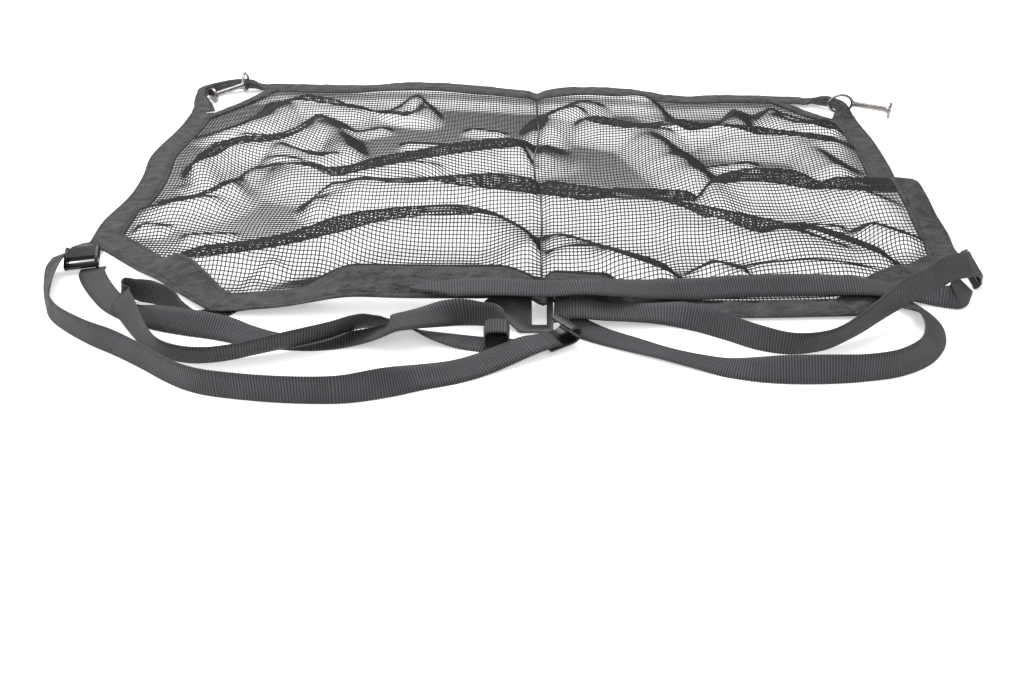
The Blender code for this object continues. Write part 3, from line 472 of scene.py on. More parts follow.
def read(rows, key, field, at):
    """A field's values at an array of places along the rows, on a smooth curve."""
    places = np.array([getattr(row, key) for row in rows])
    values = np.array([getattr(row, field) for row in rows])
    last = len(rows) - 1
    at = np.clip(at, places[0], places[-1])
    i = np.clip(np.searchsorted(places, at, side="right") - 1, 0, last - 1)
    t = (at - places[i]) / (places[i + 1] - places[i])
    return hermite(values[np.maximum(i - 1, 0)], values[i], values[i + 1], values[np.minimum(i + 2, last)], t)


def smooth_line(rows, steps_between, closed=False):
    """Points on the smooth curve through the rows, each a vector of all the fields. steps_between gives the
    number of steps from one row to the next; a closed line goes on from the last row to the first."""
    points = [Vector(row) for row in rows]
    count = len(points)
    found = []
    for i in range(count if closed else count - 1):
        four = range(i - 1, i + 3)
        near = [points[k % count if closed else min(max(k, 0), count - 1)] for k in four]
        steps = steps_between(near[1], near[2])
        found += [hermite(*near, step / steps) for step in range(steps)]
    return found if closed else found + [points[-1]]


def stations(rows, spacing):
    """Points about a spacing apart on the smooth curve through the rows."""
    return smooth_line(rows, lambda a, b: max(1, round((b.to_3d() - a.to_3d()).length / spacing)))


def soft_step(t):
    t = np.clip(t, 0.0, 1.0)
    return t * t * (3 - 2 * t)


# ---- how the cloth lies

def crest(fold, x, y):
    """Heights that one fold gives to an array of places."""
    run = np.array((fold.x1 - fold.x0, fold.y1 - fold.y0), float)
    side = np.array((-run[1], run[0])) / np.hypot(*run)
    if side[1] < 0:
        side = -side
    bow = fold.bow if run[0] > 0 or side[0] * -run[1] > 0 else -fold.bow
    dx, dy = x / MM - fold.x0, y / MM - fold.y0
    t = (dx * run[0] + dy * run[1]) / (run @ run)
    inside = np.clip(t, 0.0, 1.0)
    distance = dx * side[0] + dy * side[1] - 4 * bow * inside * (1 - inside)
    share = np.minimum(np.abs(distance) / np.where(distance > 0, fold.far, fold.near), 1.0)
    ends = soft_step((t + CREST_FADE) / (2 * CREST_FADE)) * soft_step((1 + CREST_FADE - t) / (2 * CREST_FADE))
    return fold.height * MM * ends * 0.5 * (1 + np.cos(np.pi * share))


def height(x, y, u, v):
    """Heights of the cloth's underside: the crests, the lifted hems and the crease down the middle."""
    lifted = read(HEMS, "u", "lift", u) * (1 - soft_step((v - 0.5 * LIFT_REACH) / LIFT_REACH))
    raised = read(HEMS, "u", "rise", u) * soft_step((v - NET_DEPTH + 1.5 * LIFT_REACH) / LIFT_REACH)
    total = lifted ** CREST_POWER + raised ** CREST_POWER
    for fold in FOLDS:
        total = total + crest(fold, x, y) ** CREST_POWER
    level = total ** (1 / CREST_POWER)
    for fold in FINE_FOLDS:
        level = level + FINE_SHARE * crest(fold, x, y)
    valley = np.maximum(0.0, 1 - np.abs(u - CREASE_X) / CREASE_HALF_WIDTH)
    return np.maximum(0.0, level - CREASE_DEPTH * valley * np.minimum(1.0, level / CREASE_DEPTH / 2))


WRINKLE_RISE = 0.0016
WRINKLE_SCALE = (16.0, 34.0)  # wrinkles per metre across the net and away from the front hem
WRINKLE_SKEW = 0.35
WRINKLE_LAYER = 4.2  # which layer of the noise the wrinkles are read from
WRINKLE_FROM = 0.012  # height of cloth at which they stand at their full rise


def wrinkle(x, y, level):
    """Small wrinkles on the raised parts of the cloth."""
    wide, deep = WRINKLE_SCALE
    rise = [noise.noise(Vector((a * wide + WRINKLE_SKEW * b * deep, b * deep, WRINKLE_LAYER)))
            for a, b in zip(x, y)]
    return WRINKLE_RISE * np.array(rise) * soft_step(level / WRINKLE_FROM)


def lay(u, v):
    """Where places on the flat cloth lie: an array of x, y and the height of its underside."""
    u, v = np.asarray(u, float), np.asarray(v, float)
    across = (u - NET_LEFT) / (NET_RIGHT - NET_LEFT)
    along = v / NET_DEPTH
    left = read(SIDES, "v", "left", v) - NET_LEFT
    right = read(SIDES, "v", "right", v) - NET_RIGHT
    front = read(HEMS, "u", "front", u)
    back = read(HEMS, "u", "back", u) - NET_DEPTH
    x = u + (1 - across) * left + across * right
    y = v + (1 - along) * front + along * back
    level = height(x, y, u, v)
    return np.stack((x, y, level + wrinkle(x, y, level)), axis=-1)


def beside(start, end, distance):
    """A line moved to its left by a distance."""
    run = Vector((end[0] - start[0], end[1] - start[1])).normalized()
    shift = Vector((-run.y, run.x)) * distance
    return tuple(Vector(start) + shift), tuple(Vector(end) + shift)


def meeting(first, second):
    """The point where two lines in the plane cross."""
    (x1, y1), (x2, y2) = first
    (x3, y3), (x4, y4) = second
    across = (x1 - x2) * (y3 - y4) - (y1 - y2) * (x3 - x4)
    a = x1 * y2 - y1 * x2
    b = x3 * y4 - y3 * x4
    return ((a * (x3 - x4) - (x1 - x2) * b) / across, (a * (y3 - y4) - (y1 - y2) * b) / across)


# Outline of the net, counter-clockwise from the left end of the front hem
OUTLINE = (
    (NET_LEFT + CORNER_CUT_LEFT[0], 0.0),
    (NET_RIGHT - CORNER_CUT_RIGHT[0], 0.0),
    (NET_RIGHT, CORNER_CUT_RIGHT[1]),
    (NET_RIGHT, NET_DEPTH),
    (NET_LEFT, NET_DEPTH),
    (NET_LEFT, CORNER_CUT_LEFT[1]),
)
FRONT, CUT_RIGHT, RIGHT, BACK, LEFT, CUT_LEFT = (
    (OUTLINE[i], OUTLINE[(i + 1) % len(OUTLINE)]) for i in range(len(OUTLINE))
)
INNER_LEFT = NET_LEFT + BAND_WIDTH
INNER_RIGHT = NET_RIGHT - BAND_WIDTH
INNER_BACK = NET_DEPTH - BAND_WIDTH
TAPE_LEFT = ((INNER_LEFT, 0.536), (-0.362, INNER_BACK), (-0.380, INNER_BACK), (INNER_LEFT, 0.562))
TAPE_RIGHT = ((0.345, INNER_BACK), (INNER_RIGHT, 0.574), (INNER_RIGHT, 0.598), (0.366, INNER_BACK))


# ---- making pieces

SHARP_ANGLE = 35  # edges with a sharper turn than this, in degrees, are rounded


def link_mesh(name, bm, finish):
    """Puts a bmesh into the scene as an object with one finish."""
    mesh = bpy.data.meshes.new(name)
    bm.to_mesh(mesh)
    bm.free()
    mesh.materials.append(finish)
    made = bpy.data.objects.new(name, mesh)
    bpy.context.scene.collection.objects.link(made)
    return made


def add_piece(name, bm, finish, nodes, outward=True):
    """A named piece from a bmesh, moved to the part's frame; it rides on the part and stands for nodes."""
    if outward:
        bmesh.ops.recalc_face_normals(bm, faces=bm.faces)
    bmesh.ops.translate(bm, verts=bm.verts, vec=-CENTRE)
    piece = link_mesh(name, bm, finish)
    piece.data.shade_smooth()
    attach(piece, "root")
    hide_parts(*nodes)
    return piece


def cloth_mesh():
    """A new bmesh with the UV layer that holds each point's place on its cloth."""
    bm = bmesh.new()
    return bm, bm.loops.layers.uv.new("cloth")


def mark(vert, cloth, along, across):
    """Notes a point's place on its cloth, in metres."""
    for loop in vert.link_loops:
        loop[cloth].uv = (along, across)


def points_in(items):
    return [item for item in items if isinstance(item, bmesh.types.BMVert)]


def extruded(bm, faces):
    """Grows faces into a solid; the new points still lie on the old ones."""
    return points_in(bmesh.ops.extrude_face_region(bm, geom=faces)["geom"])


def next_ring(bm, edges):
    """Grows a ring of edges into a tube: the edges and points of its far end."""
    grown = bmesh.ops.extrude_edge_only(bm, edges=edges)["geom"]
    return [item for item in grown if isinstance(item, bmesh.types.BMEdge)], points_in(grown)


def soften(piece, width, segments=2):
    """Rounds a piece's edges."""
    bevel = piece.modifiers.new("rounded edges", "BEVEL")
    bevel.width = width
    bevel.segments = segments
    bevel.limit_method = "ANGLE"
    bevel.angle_limit = math.radians(SHARP_ANGLE)
    bevel.harden_normals = True


def wall(piece, thick):
    """Gives a sheet its thickness, half to each side."""
    sides = piece.modifiers.new("thickness", "SOLIDIFY")
    sides.thickness = thick
    sides.offset = 0
    return piece


def lay_points(bm, lift):
    """Drops a flat bmesh over the folds, a lift above the cloth's underside."""
    verts = list(bm.verts)
    spots = lay([vert.co.x for vert in verts], [vert.co.y for vert in verts])
    for vert, (x, y, z) in zip(verts, spots):
        vert.co = (x, y, z + lift)


def drop_right_of(bm, start, end):
    """Cuts a flat bmesh along a line and drops what lies to the right of it."""
    run = Vector((end[0] - start[0], end[1] - start[1], 0))
    bmesh.ops.bisect_plane(bm, geom=bm.verts[:] + bm.edges[:] + bm.faces[:], plane_co=(*start, 0),
                           plane_no=Vector((run.y, -run.x, 0)), clear_outer=True)


# ---- the net

TUCK = 0.0036  # how far the mesh runs in under the bands
SEAT = BAND_WIDTH - TUCK
FOLD_ROWS = 6  # rows of cells that the folds take up


def even_rows(columns, rows):
    """Where the mesh's cross yarns lie on the flat cloth, column by column, so that cells keep their size."""
    samples = 320
    low, high = SEAT, NET_DEPTH - SEAT
    v = np.linspace(low, high, samples)
    placed = np.empty((len(columns), rows + 1))
    even = np.linspace(0, 1, rows + 1)
    for i, u in enumerate(columns):
        path = lay(np.full(samples, u), v)
        run = np.concatenate(([0.0], np.cumsum(np.linalg.norm(np.diff(path, axis=0), axis=1))))
        placed[i] = np.interp(even * run[-1], run, v)
    spread = np.array((1, 2, 3, 4, 3, 2, 1)) / 16
    padded = np.pad(placed, ((3, 3), (0, 0)), mode="edge")
    return np.stack([np.convolve(padded[:, k], spread, "valid") for k in range(rows + 1)], axis=1)


def net_strip(name, columns, rows, edged, finish):
    """A strip of the open mesh: a lattice of yarn over the folds, cut to the bands and the corner tapes. An
    edged strip has a yarn of its own all round."""
    across, along = len(columns) - 1, rows.shape[1] - 1
    bm = bmesh.new()
    bmesh.ops.create_grid(bm, x_segments=across, y_segments=along, size=0.5)
    for vert in bm.verts:
        i, j = round((vert.co.x + 0.5) * across), round((vert.co.y + 0.5) * along)
        vert.co = (columns[i], rows[i, j], 0)
    for line in (CUT_RIGHT, CUT_LEFT):
        drop_right_of(bm, *beside(*line, SEAT))
    drop_right_of(bm, *beside(TAPE_LEFT[1], TAPE_LEFT[0], -TUCK))
    drop_right_of(bm, *beside(TAPE_RIGHT[1], TAPE_RIGHT[0], -TUCK))
    area = sum(face.calc_area() for face in bm.faces)
    lay_points(bm, YARN_LIFT)
    strip = add_piece(name, bm, finish, ["net_mesh"], outward=False)
    yarn = strip.modifiers.new("yarn", "WIREFRAME")
    yarn.thickness = YARN
    yarn.use_even_offset = False
    yarn.use_boundary = edged


def net(finish):
    """The mesh in four strips, with two yarns side by side where it was folded for storage."""
    along = round((NET_DEPTH - 2 * SEAT) / CELL_DEPTH) + FOLD_ROWS
    for side, u_from, u_to, inner_first in (("left", NET_LEFT + SEAT, CREASE_X - 0.5 * YARN, False),
                                            ("right", CREASE_X + 0.5 * YARN, NET_RIGHT - SEAT, True)):
        columns = np.linspace(u_from, u_to, round((u_to - u_from) / CELL_WIDTH) + 1)
        rows = even_rows(columns, along)
        half = len(columns) // 2
        for k, (first, last) in enumerate(((0, half), (half, len(columns) - 1))):
            inner = (k == 0) == inner_first
            name = f"mesh_{side}_{'inner' if inner else 'outer'}"
            taken = slice(first, last + 1)
            net_strip(name, columns[taken], rows[taken], inner, finish)


# A band's section: share of its width from the outer edge, and share of its thickness that stands there
BAND_SECTION = ((0, 0.40), (0.03, 0.85), (0.08, 1.0), (0.125, 0.66), (0.17, 0.96), (0.3, 1.05), (0.5, 1.0),
                (0.7, 1.05), (0.83, 0.96), (0.875, 0.66), (0.92, 1.0), (0.97, 0.85), (1, 0.40))
BAND_STEP = 0.004  # about how far apart a band's sections stand
CRUMPLE_RISE = 0.0021
CRUMPLE_SCALE = 46, 22, -18, 70  # crumples per metre: two slanting ways, each along u and v
CRUMPLE_LAYER = 1.7
SMALL_CRUMPLE_SCALE = 120
SMALL_CRUMPLE_LAYER = 9.1


def crumple(u, v):
    """Small crumples of the band cloth, sharp along their ridges."""
    a, b, c, d = CRUMPLE_SCALE
    ridges = noise.noise(Vector((u * a + v * b, u * c + v * d, CRUMPLE_LAYER)))
    small = noise.noise(Vector((u * SMALL_CRUMPLE_SCALE, v * SMALL_CRUMPLE_SCALE, SMALL_CRUMPLE_LAYER)))
    return CRUMPLE_RISE * ((1 - 2.4 * abs(ridges)) * 0.8 + 0.35 * small)


def band(name, corners, finish):
    """A length of bound border over the folds: hemmed, stitched and a little crumpled; corners go
    counter-clockwise from the outer edge."""
    a, b, c, d = (Vector(corner) for corner in corners)
    long, wide = ((b - a).length + (c - d).length) / 2, (d - a).length
    along, across = max(2, round((b - a).length / BAND_STEP)), len(BAND_SECTION) - 1
    bm, cloth = cloth_mesh()
    bmesh.ops.create_grid(bm, x_segments=along, y_segments=across, size=0.5)
    for vert in bm.verts:
        s = vert.co.x + 0.5
        t, _ = BAND_SECTION[round((vert.co.y + 0.5) * across)]
        flat = (a * (1 - s) + b * s) * (1 - t) + (d * (1 - s) + c * s) * t
        vert.co = (*flat, 0)
        mark(vert, cloth, s * long, t * BAND_WIDTH)
    under = list(bm.verts)
    over = extruded(bm, bm.faces[:])
    outer_run = (b - a).normalized()
    inward = Vector((-outer_run.y, outer_run.x))
    for verts, top in ((under, False), (over, True)):
        flats = [vert.co.xy for vert in verts]
        spots = lay([flat.x for flat in flats], [flat.y for flat in flats])
        for vert, flat, (x, y, z) in zip(verts, flats, spots):
            t = min(max((flat - a).dot(inward) / wide, 0.0), 1.0)
            stand = float(np.interp(t, *zip(*BAND_SECTION)))
            middle = float(soft_step(6 * t) * soft_step(6 * (1 - t)))
            rise = crumple(flat.x, flat.y) * middle
            vert.co = (x, y, z + (BAND_THICK * stand + rise if top else 0.35 * BAND_THICK * (1 - stand)))
    piece = add_piece(name + "_cloth", bm, finish, [name])


def bands(finish):
    """The bound border: front, two cut corners, two sides and the back, mitred where they meet."""
    inner = {line: beside(*line, BAND_WIDTH) for line in (FRONT, CUT_RIGHT, RIGHT, BACK, LEFT, CUT_LEFT)}
    front_left = meeting(inner[CUT_LEFT], inner[FRONT])
    front_right = meeting(inner[FRONT], inner[CUT_RIGHT])
    side_right = meeting(inner[CUT_RIGHT], inner[RIGHT])
    side_left = meeting(inner[LEFT], inner[CUT_LEFT])
    panels = {
        "band_front": (FRONT[0], FRONT[1], front_right, front_left),
        "band_front_right": (FRONT[1], CUT_RIGHT[1], side_right, front_right),
        "band_right": (CUT_RIGHT[1], (NET_RIGHT, SIDE_END_RIGHT), (INNER_RIGHT, SIDE_END_RIGHT), side_right),
        "band_back": ((BACK_END_RIGHT, NET_DEPTH), (BACK_END_LEFT, NET_DEPTH), (BACK_END_LEFT, INNER_BACK),
                      (BACK_END_RIGHT, INNER_BACK)),
        "band_left": ((NET_LEFT, SIDE_END_LEFT), CUT_LEFT[0], side_left, (INNER_LEFT, SIDE_END_LEFT)),
        "band_front_left": (CUT_LEFT[0], CUT_LEFT[1], front_left, side_left),
    }
    for name, corners in panels.items():
        band(name, corners, finish)
    # A tape's first and last corners lie along its outer edge
    band("corner_tape_left", (TAPE_LEFT[2], TAPE_LEFT[3], TAPE_LEFT[0], TAPE_LEFT[1]), finish)
    band("corner_tape_right", (TAPE_RIGHT[2], TAPE_RIGHT[3], TAPE_RIGHT[0], TAPE_RIGHT[1]), finish)


ROLL_SIDES = 40
ROLL_STEP = 3.0  # about how far apart a roll's sections stand, in millimetres
PLEATS = 5
PLEAT_DEPTH = 0.10  # share of the roll's size
PLEAT_TWIST = 0.05  # radians for each millimetre along the roll
ROUND_FROM = 10  # thickness in millimetres at which the pleats are at their full depth


def corner_loop(name, rows, finish):
    """Band cloth gathered into a roll: pleated sections that change from flat to round, lofted and capped."""
    spots = stations(rows, ROLL_STEP)
    bm, cloth = cloth_mesh()
    rings = [bmesh.ops.create_circle(bm, segments=ROLL_SIDES, radius=1, cap_ends=False)["verts"]]
    edges = bm.edges[:]
    for _ in spots[1:]:
        edges, points = next_ring(bm, edges)
        rings.append(points)
    run_so_far = 0.0
    for i, (x, y, z, wide, thick) in enumerate(spots):
        ahead = spots[min(i + 1, len(spots) - 1)] - spots[max(i - 1, 0)]
        run = Vector((ahead[0], ahead[1], 0)).normalized()
        side = Vector((-run.y, run.x, 0))
        if i:
            run_so_far += (spots[i].to_3d() - spots[i - 1].to_3d()).length
        for vert in rings[i]:
            turn = math.atan2(vert.co.y, vert.co.x)
            pleat = math.sin(PLEATS * turn + PLEAT_TWIST * run_so_far)
            gather = 1 + PLEAT_DEPTH * pleat * min(1, thick / ROUND_FROM)
            gather += 0.05 * noise.noise(Vector((math.cos(turn) * 2, math.sin(turn) * 2, run_so_far * 0.09)))
            flat = 0.5 * wide * gather * math.cos(turn) * side
            spot = Vector((x, y, z)) + flat + Vector((0, 0, 0.5 * thick * gather * math.sin(turn)))
            spot.z = max(spot.z, 0.0)
            vert.co = spot * MM
            mark(vert, cloth, run_so_far * MM, (turn / (2 * math.pi) + 0.5) * BAND_WIDTH)
    bmesh.ops.holes_fill(bm, edges=bm.edges[:], sides=ROLL_SIDES)
    add_piece(name + "_cloth", bm, finish, [name])


# ---- straps

UNSEWN = 15 * RIB  # a plain start is marked as cloth this far along, past the seams, with its ribs in step
STRAP_SLANT = 0.042  # length over which the right strap's last end is cut to a point
SLANT_CUT = 0.92  # share of the width that the cut takes off at the very end


def webbing(name, rows, finish, node, sewn=False, slant=0.0):
    """Webbing swept along a route: ribbed, leaned at each station, then thickened. A sewn start has two seams
    across it; a slant is the length over which the last end is cut to a point."""
    spots = stations(rows, 0.5 * RIB / MM)
    half = 0.5 * WEB_THICK
    bm, cloth = cloth_mesh()
    bmesh.ops.create_grid(bm, x_segments=len(spots) - 1, y_segments=4, size=0.5)
    middle = []
    frames = []
    for i, spot in enumerate(spots):
        ahead = spots[min(i + 1, len(spots) - 1)] - spots[max(i - 1, 0)]
        run = Vector((ahead[0], ahead[1], 0)).normalized()
        left = Vector((-run.y, run.x, 0))
        lean = math.radians(spot[3])
        width = math.cos(lean) * left + math.sin(lean) * Vector((0, 0, 1))
        droop = max(0.0, -math.sin(lean)) * WEB_WIDTH
        lift = max(spot[2] * MM, droop) + half * abs(math.cos(lean))
        low = Vector((spot[0] * MM, spot[1] * MM, lift))
        frames.append((low, width, run.cross(width)))
        middle.append(low + 0.5 * WEB_WIDTH * width)
    for vert in bm.verts:
        i = round((vert.co.x + 0.5) * (len(spots) - 1))
        t = vert.co.y + 0.5
        low, width, out = frames[i]
        cut = max(0.0, 1 - (len(spots) - 1 - i) * 0.5 * RIB / slant) if slant else 0.0
        beat = 1 if i % 2 else -1
        edge = EDGE_WAVE * beat * (1 if t > 0.9 else -1 if t < 0.1 else 0)
        across_at = t + (1 - t) * SLANT_CUT * cut
        vert.co = low + (across_at * WEB_WIDTH + edge) * width + RIB_RISE * beat * out
        mark(vert, cloth, 0.5 * i * RIB + (0 if sewn else UNSEWN), across_at * WEB_WIDTH)
    piece = wall(add_piece(name, bm, finish, [node], outward=False), WEB_THICK)
    length = sum((far - near).length for near, far in zip(middle, middle[1:]))


def straps(finish):
    webbing("left_strap_outgoing", LEFT_OUT, finish, "strap_left_out")
    webbing("left_strap_return", LEFT_HOOK, finish, "strap_left_back", sewn=True)
    webbing("left_strap_tail", LEFT_TAIL, finish, "strap_left_tail")
    webbing("right_strap_outgoing", RIGHT_OUT, finish, "strap_right_out")
    webbing("right_strap_return", RIGHT_BACK, finish, "strap_right_back")
    webbing("right_strap_tail", RIGHT_TAIL, finish, "strap_right_tail", slant=STRAP_SLANT)


# The end loop's round in millimetres, seen from the front: places from left to right and heights
END_LOOP = ((-37, 2.6), (-20, 2.6), (-16.5, 6), (-16.5, 16), (-20, 19.4), (-33, 19.4), (-37, 16), (-37.6, 6))
END_LOOP_FRONT = -0.066
END_LOOP_RINGS = 10
PRESSED_HEIGHT = 0.012  # height at which its back is pressed together
PRESSED_SHARE = 0.2  # what is left of the height there


def end_loop(finish):
    """The folded and sewn end of the left strap's tail: a short tube of webbing that stands open to the
    front."""
    spots = smooth_line(END_LOOP, lambda a, b: 5, closed=True)
    bm, cloth = cloth_mesh()
    bmesh.ops.create_circle(bm, segments=len(spots), radius=1, cap_ends=False)
    loop_verts = sorted(bm.verts, key=lambda vert: math.atan2(vert.co.y, vert.co.x))
    for vert, (x, z) in zip(loop_verts, spots):
        vert.co = (x * MM, END_LOOP_FRONT, z * MM)
    edges = bm.edges[:]
    for _ in range(END_LOOP_RINGS):
        edges, points = next_ring(bm, edges)
        bmesh.ops.translate(bm, verts=points, vec=(0, WEB_WIDTH / END_LOOP_RINGS, 0))
    bmesh.ops.scale(bm, vec=(1, 1, PRESSED_SHARE), space=Matrix.Translation((0, 0, -PRESSED_HEIGHT)),
                    verts=points)
    for vert in bm.verts:
        mark(vert, cloth, vert.co.x + vert.co.z, vert.co.y - END_LOOP_FRONT)
    piece = add_piece("left_strap_end_loop_webbing", bm, finish, ["strap_left_end_loop"])
    wall(piece, WEB_THICK)
    sides = zip(END_LOOP, END_LOOP[1:] + END_LOOP[:1])
    length = sum((Vector(far) - Vector(near)).length for near, far in sides) * MM


TAB_SAG = 0.6  # in millimetres, at the middle of the tab's length
TAB_WAVE = 0.3


def tab(name, corners, finish):
    """A short fabric loop between a band corner and its buckle."""
    a, b, c, d = (Vector(corner) * MM for corner in corners)
    bm, cloth = cloth_mesh()
    bmesh.ops.create_grid(bm, x_segments=6, y_segments=12, size=0.5)
    long, wide = (d - a).length, (b - a).length
    for vert in bm.verts:
        s, t = vert.co.x + 0.5, vert.co.y + 0.5
        wave = noise.noise(Vector((s * 3, t * 5, 2)))
        sag = Vector((0, 0, TAB_SAG * MM * math.sin(math.pi * t) + TAB_WAVE * MM * wave))
        vert.co = (a * (1 - s) + b * s) * (1 - t) + (d * (1 - s) + c * s) * t + sag
        mark(vert, cloth, t * long, s * wide)
    piece = wall(add_piece(name + "_cloth", bm, finish, [name], outward=False), TAB_THICK)
    soften(piece, 0.0006)


# ---- fittings

def facing(place, forward, upward):
    """A frame at a place whose X points forward and whose Z points upward."""
    x = Vector(forward).normalized()
    y = Vector(upward).cross(x).normalized()
    z = x.cross(y)
    return Matrix.Translation(place) @ Matrix((x, y, z)).transposed().to_4x4()


def rod(bm, axes, start, length, radius, far_radius, sides):
    """A round bar along a frame's X axis, with its own radius at either end."""
    turn = Matrix.Rotation(math.radians(90), 4, "Y")
    shift = Matrix.Translation((start + 0.5 * length, 0, 0))
    bmesh.ops.create_cone(bm, cap_ends=True, segments=sides, radius1=radius, radius2=far_radius, depth=length,
                          matrix=axes @ shift @ turn)


def block(bm, size, axes):
    """A box round a frame's middle."""
    bmesh.ops.create_cube(bm, size=1, matrix=axes @ Matrix.Diagonal((*size, 1)))


# What is turned on a pin: where it starts, its length, its radius at either end and its number of sides
PIN_TURNINGS = (
    (0.0, PIN_LENGTH, PIN_RADIUS, PIN_RADIUS, 32),  # shank
    (0.0, 0.0034, PIN_RADIUS * 1.22, PIN_RADIUS * 1.1, 32),  # collar at the eye
    (PIN_LENGTH - 0.0042, 0.0036, PIN_RADIUS * 1.12, PIN_RADIUS * 1.45, 32),  # shoulder at the head
    (PIN_LENGTH - 0.0005, HEAD_THICK - 0.0005, HEAD_RADIUS, HEAD_RADIUS * 0.96, 48),  # flat head
    (PIN_LENGTH + HEAD_THICK - 0.001, 0.0005, HEAD_RADIUS * 0.5, HEAD_RADIUS * 0.3, 32),  # weld dot
)


def eye_pin(name, eye, ring_way, pin_way, finish):
    """A pin with a flat head and a bent eye: the eye stands round its corner loop, the pin lies beside it."""
    upright = facing(eye, ring_way, (0, 0, 1))
    reach = 0.5 * EYE_WIDTH - EYE_WIRE
    lying = facing(upright @ Vector((reach, 0, 0)), pin_way, (0, 0, 1))
    bm = bmesh.new()
    turn = Matrix.Rotation(math.pi / 2, 4, "X") @ Matrix.Translation((reach, 0, 0))
    profile = bmesh.ops.create_circle(bm, segments=16, radius=EYE_WIRE, matrix=turn)
    rim = list({edge for vert in profile["verts"] for edge in vert.link_edges})
    bmesh.ops.spin(bm, geom=profile["verts"] + rim, cent=(0, 0, 0), axis=(0, 0, 1), angle=2 * math.pi,
                   steps=64, use_merge=True)
    bmesh.ops.remove_doubles(bm, verts=bm.verts, dist=1e-5)
    squash = Matrix.Diagonal((1, (0.5 * EYE_HEIGHT - EYE_WIRE) / reach, 1, 1))
    stand = Matrix.Rotation(math.radians(90), 4, "X")
    bmesh.ops.transform(bm, matrix=upright @ stand @ squash, verts=bm.verts)
    for turning in PIN_TURNINGS:
        rod(bm, lying, *turning)
    soften(add_piece(name + "_steel", bm, finish, [name]), 0.0005)


PLATE_FRAME = facing((0, -0.0345, 0.0002), (1, 0, 0), (0, -math.sin(math.radians(PLATE_SLOPE)),
                                                    math.cos(math.radians(PLATE_SLOPE))))
PLATE_OUTLINE = ((22, 0), (24, 2), (24, 40), (22, 42), (-10, 42), (-22, 40), (-36, 36), (-41, 31), (-39, 25),
                 (-31, 25), (-19, 13), (-8, 1), (-5, 0))
SLOT = ((4.5, 18.0), (7.6, 37.4))  # the webbing slot's two ranges in the same plane
RIM_WIDTH = 0.0017
RIM_RISE = 0.0006


def plate_hook(finish):
    """The flat hook: a plate with rounded edges and a webbing slot, leaning back on the front hem."""
    bm = bmesh.new()
    (x0, x1), (y0, y1) = SLOT
    hole = ((x0, y0), (x1, y0), (x1, y1), (x0, y1))
    edges = []
    for loop in (PLATE_OUTLINE, hole):
        corners = [bm.verts.new((x * MM, y * MM, 0)) for x, y in loop]
        edges += [bm.edges.new((corners[k], corners[(k + 1) % len(corners)])) for k in range(len(corners))]
    bmesh.ops.triangle_fill(bm, edges=edges, use_beauty=True)
    bmesh.ops.translate(bm, verts=extruded(bm, bm.faces[:]), vec=(0, 0, PLATE_THICK))
    bmesh.ops.dissolve_limit(bm, angle_limit=math.radians(1), verts=bm.verts, edges=bm.edges)
    # A raised rim along the outline and round the slot
    faces = [face for face in bm.faces
             if face.normal.z > 0.9 and face.calc_center_median().z > 0.5 * PLATE_THICK]
    bmesh.ops.inset_region(bm, faces=faces, thickness=RIM_WIDTH, depth=0)
    sunk = {vert for face in faces if face.is_valid for vert in face.verts}
    bmesh.ops.translate(bm, verts=list(sunk), vec=(0, 0, -RIM_RISE))
    bmesh.ops.transform(bm, matrix=PLATE_FRAME, verts=bm.verts)
    soften(add_piece("plate_hook_moulding", bm, finish, ["plate_hook"]), 0.0006, 3)


CURL_FRAME = facing((0.0235, -0.0565, 0.0040), (0.80, 0.60, 0), (0, 0, 1))
CURL_WIDTH = 0.028
CURL_LINE = ((-13, 1.2), (-4, 1.2), (4, 1.2), (12, 1.2), (17, 2.6), (20, 6), (20.5, 10), (18.5, 14),
             (14, 16), (8, 15.5))
CURL_THICK = 0.0024
CURL_SLOT = (-9.6, -3.9)  # the webbing slot's range along the strip
CURL_SLOT_HALF = 0.011  # and half its length across it


def curled_hook(finish):
    """The second hook: a strip bent into a curl, its flat end a loop for the webbing."""
    spots = smooth_line(CURL_LINE, lambda a, b: 4)
    bm = bmesh.new()
    bmesh.ops.create_grid(bm, x_segments=len(spots) - 1, y_segments=8, size=0.5)
    for vert in bm.verts:
        x, z = spots[round((vert.co.x + 0.5) * (len(spots) - 1))]
        vert.co = Vector((x * MM, vert.co.y * CURL_WIDTH, z * MM))
    middles = [(face, face.calc_center_median()) for face in bm.faces]
    slot = [face for face, (x, y, z) in middles
            if CURL_SLOT[0] * MM < x < CURL_SLOT[1] * MM and abs(y) < CURL_SLOT_HALF and z < CURL_THICK]
    bmesh.ops.delete(bm, geom=slot, context="FACES")
    bmesh.ops.transform(bm, matrix=CURL_FRAME, verts=bm.verts)
    piece = wall(add_piece("curled_hook_moulding", bm, finish, ["curled_hook"],
                           outward=False), CURL_THICK)
    soften(piece, 0.0007, 3)


# A cheek's outline, as shares of half the buckle's length and height
CHEEK = ((-1.0, -1.0), (0.86, -1.0), (1.0, -0.55), (1.0, 0.25), (0.72, 0.9), (0.35, 1.0), (-0.72, 1.0),
         (-1.0, 0.6))
ROLLER_RADIUS = 0.0033
ROLLER_INSET = 0.0034  # from the buckle's front end to the roller's middle
ROLLER_DROP = 0.0004
STUB_RADIUS = 0.0022


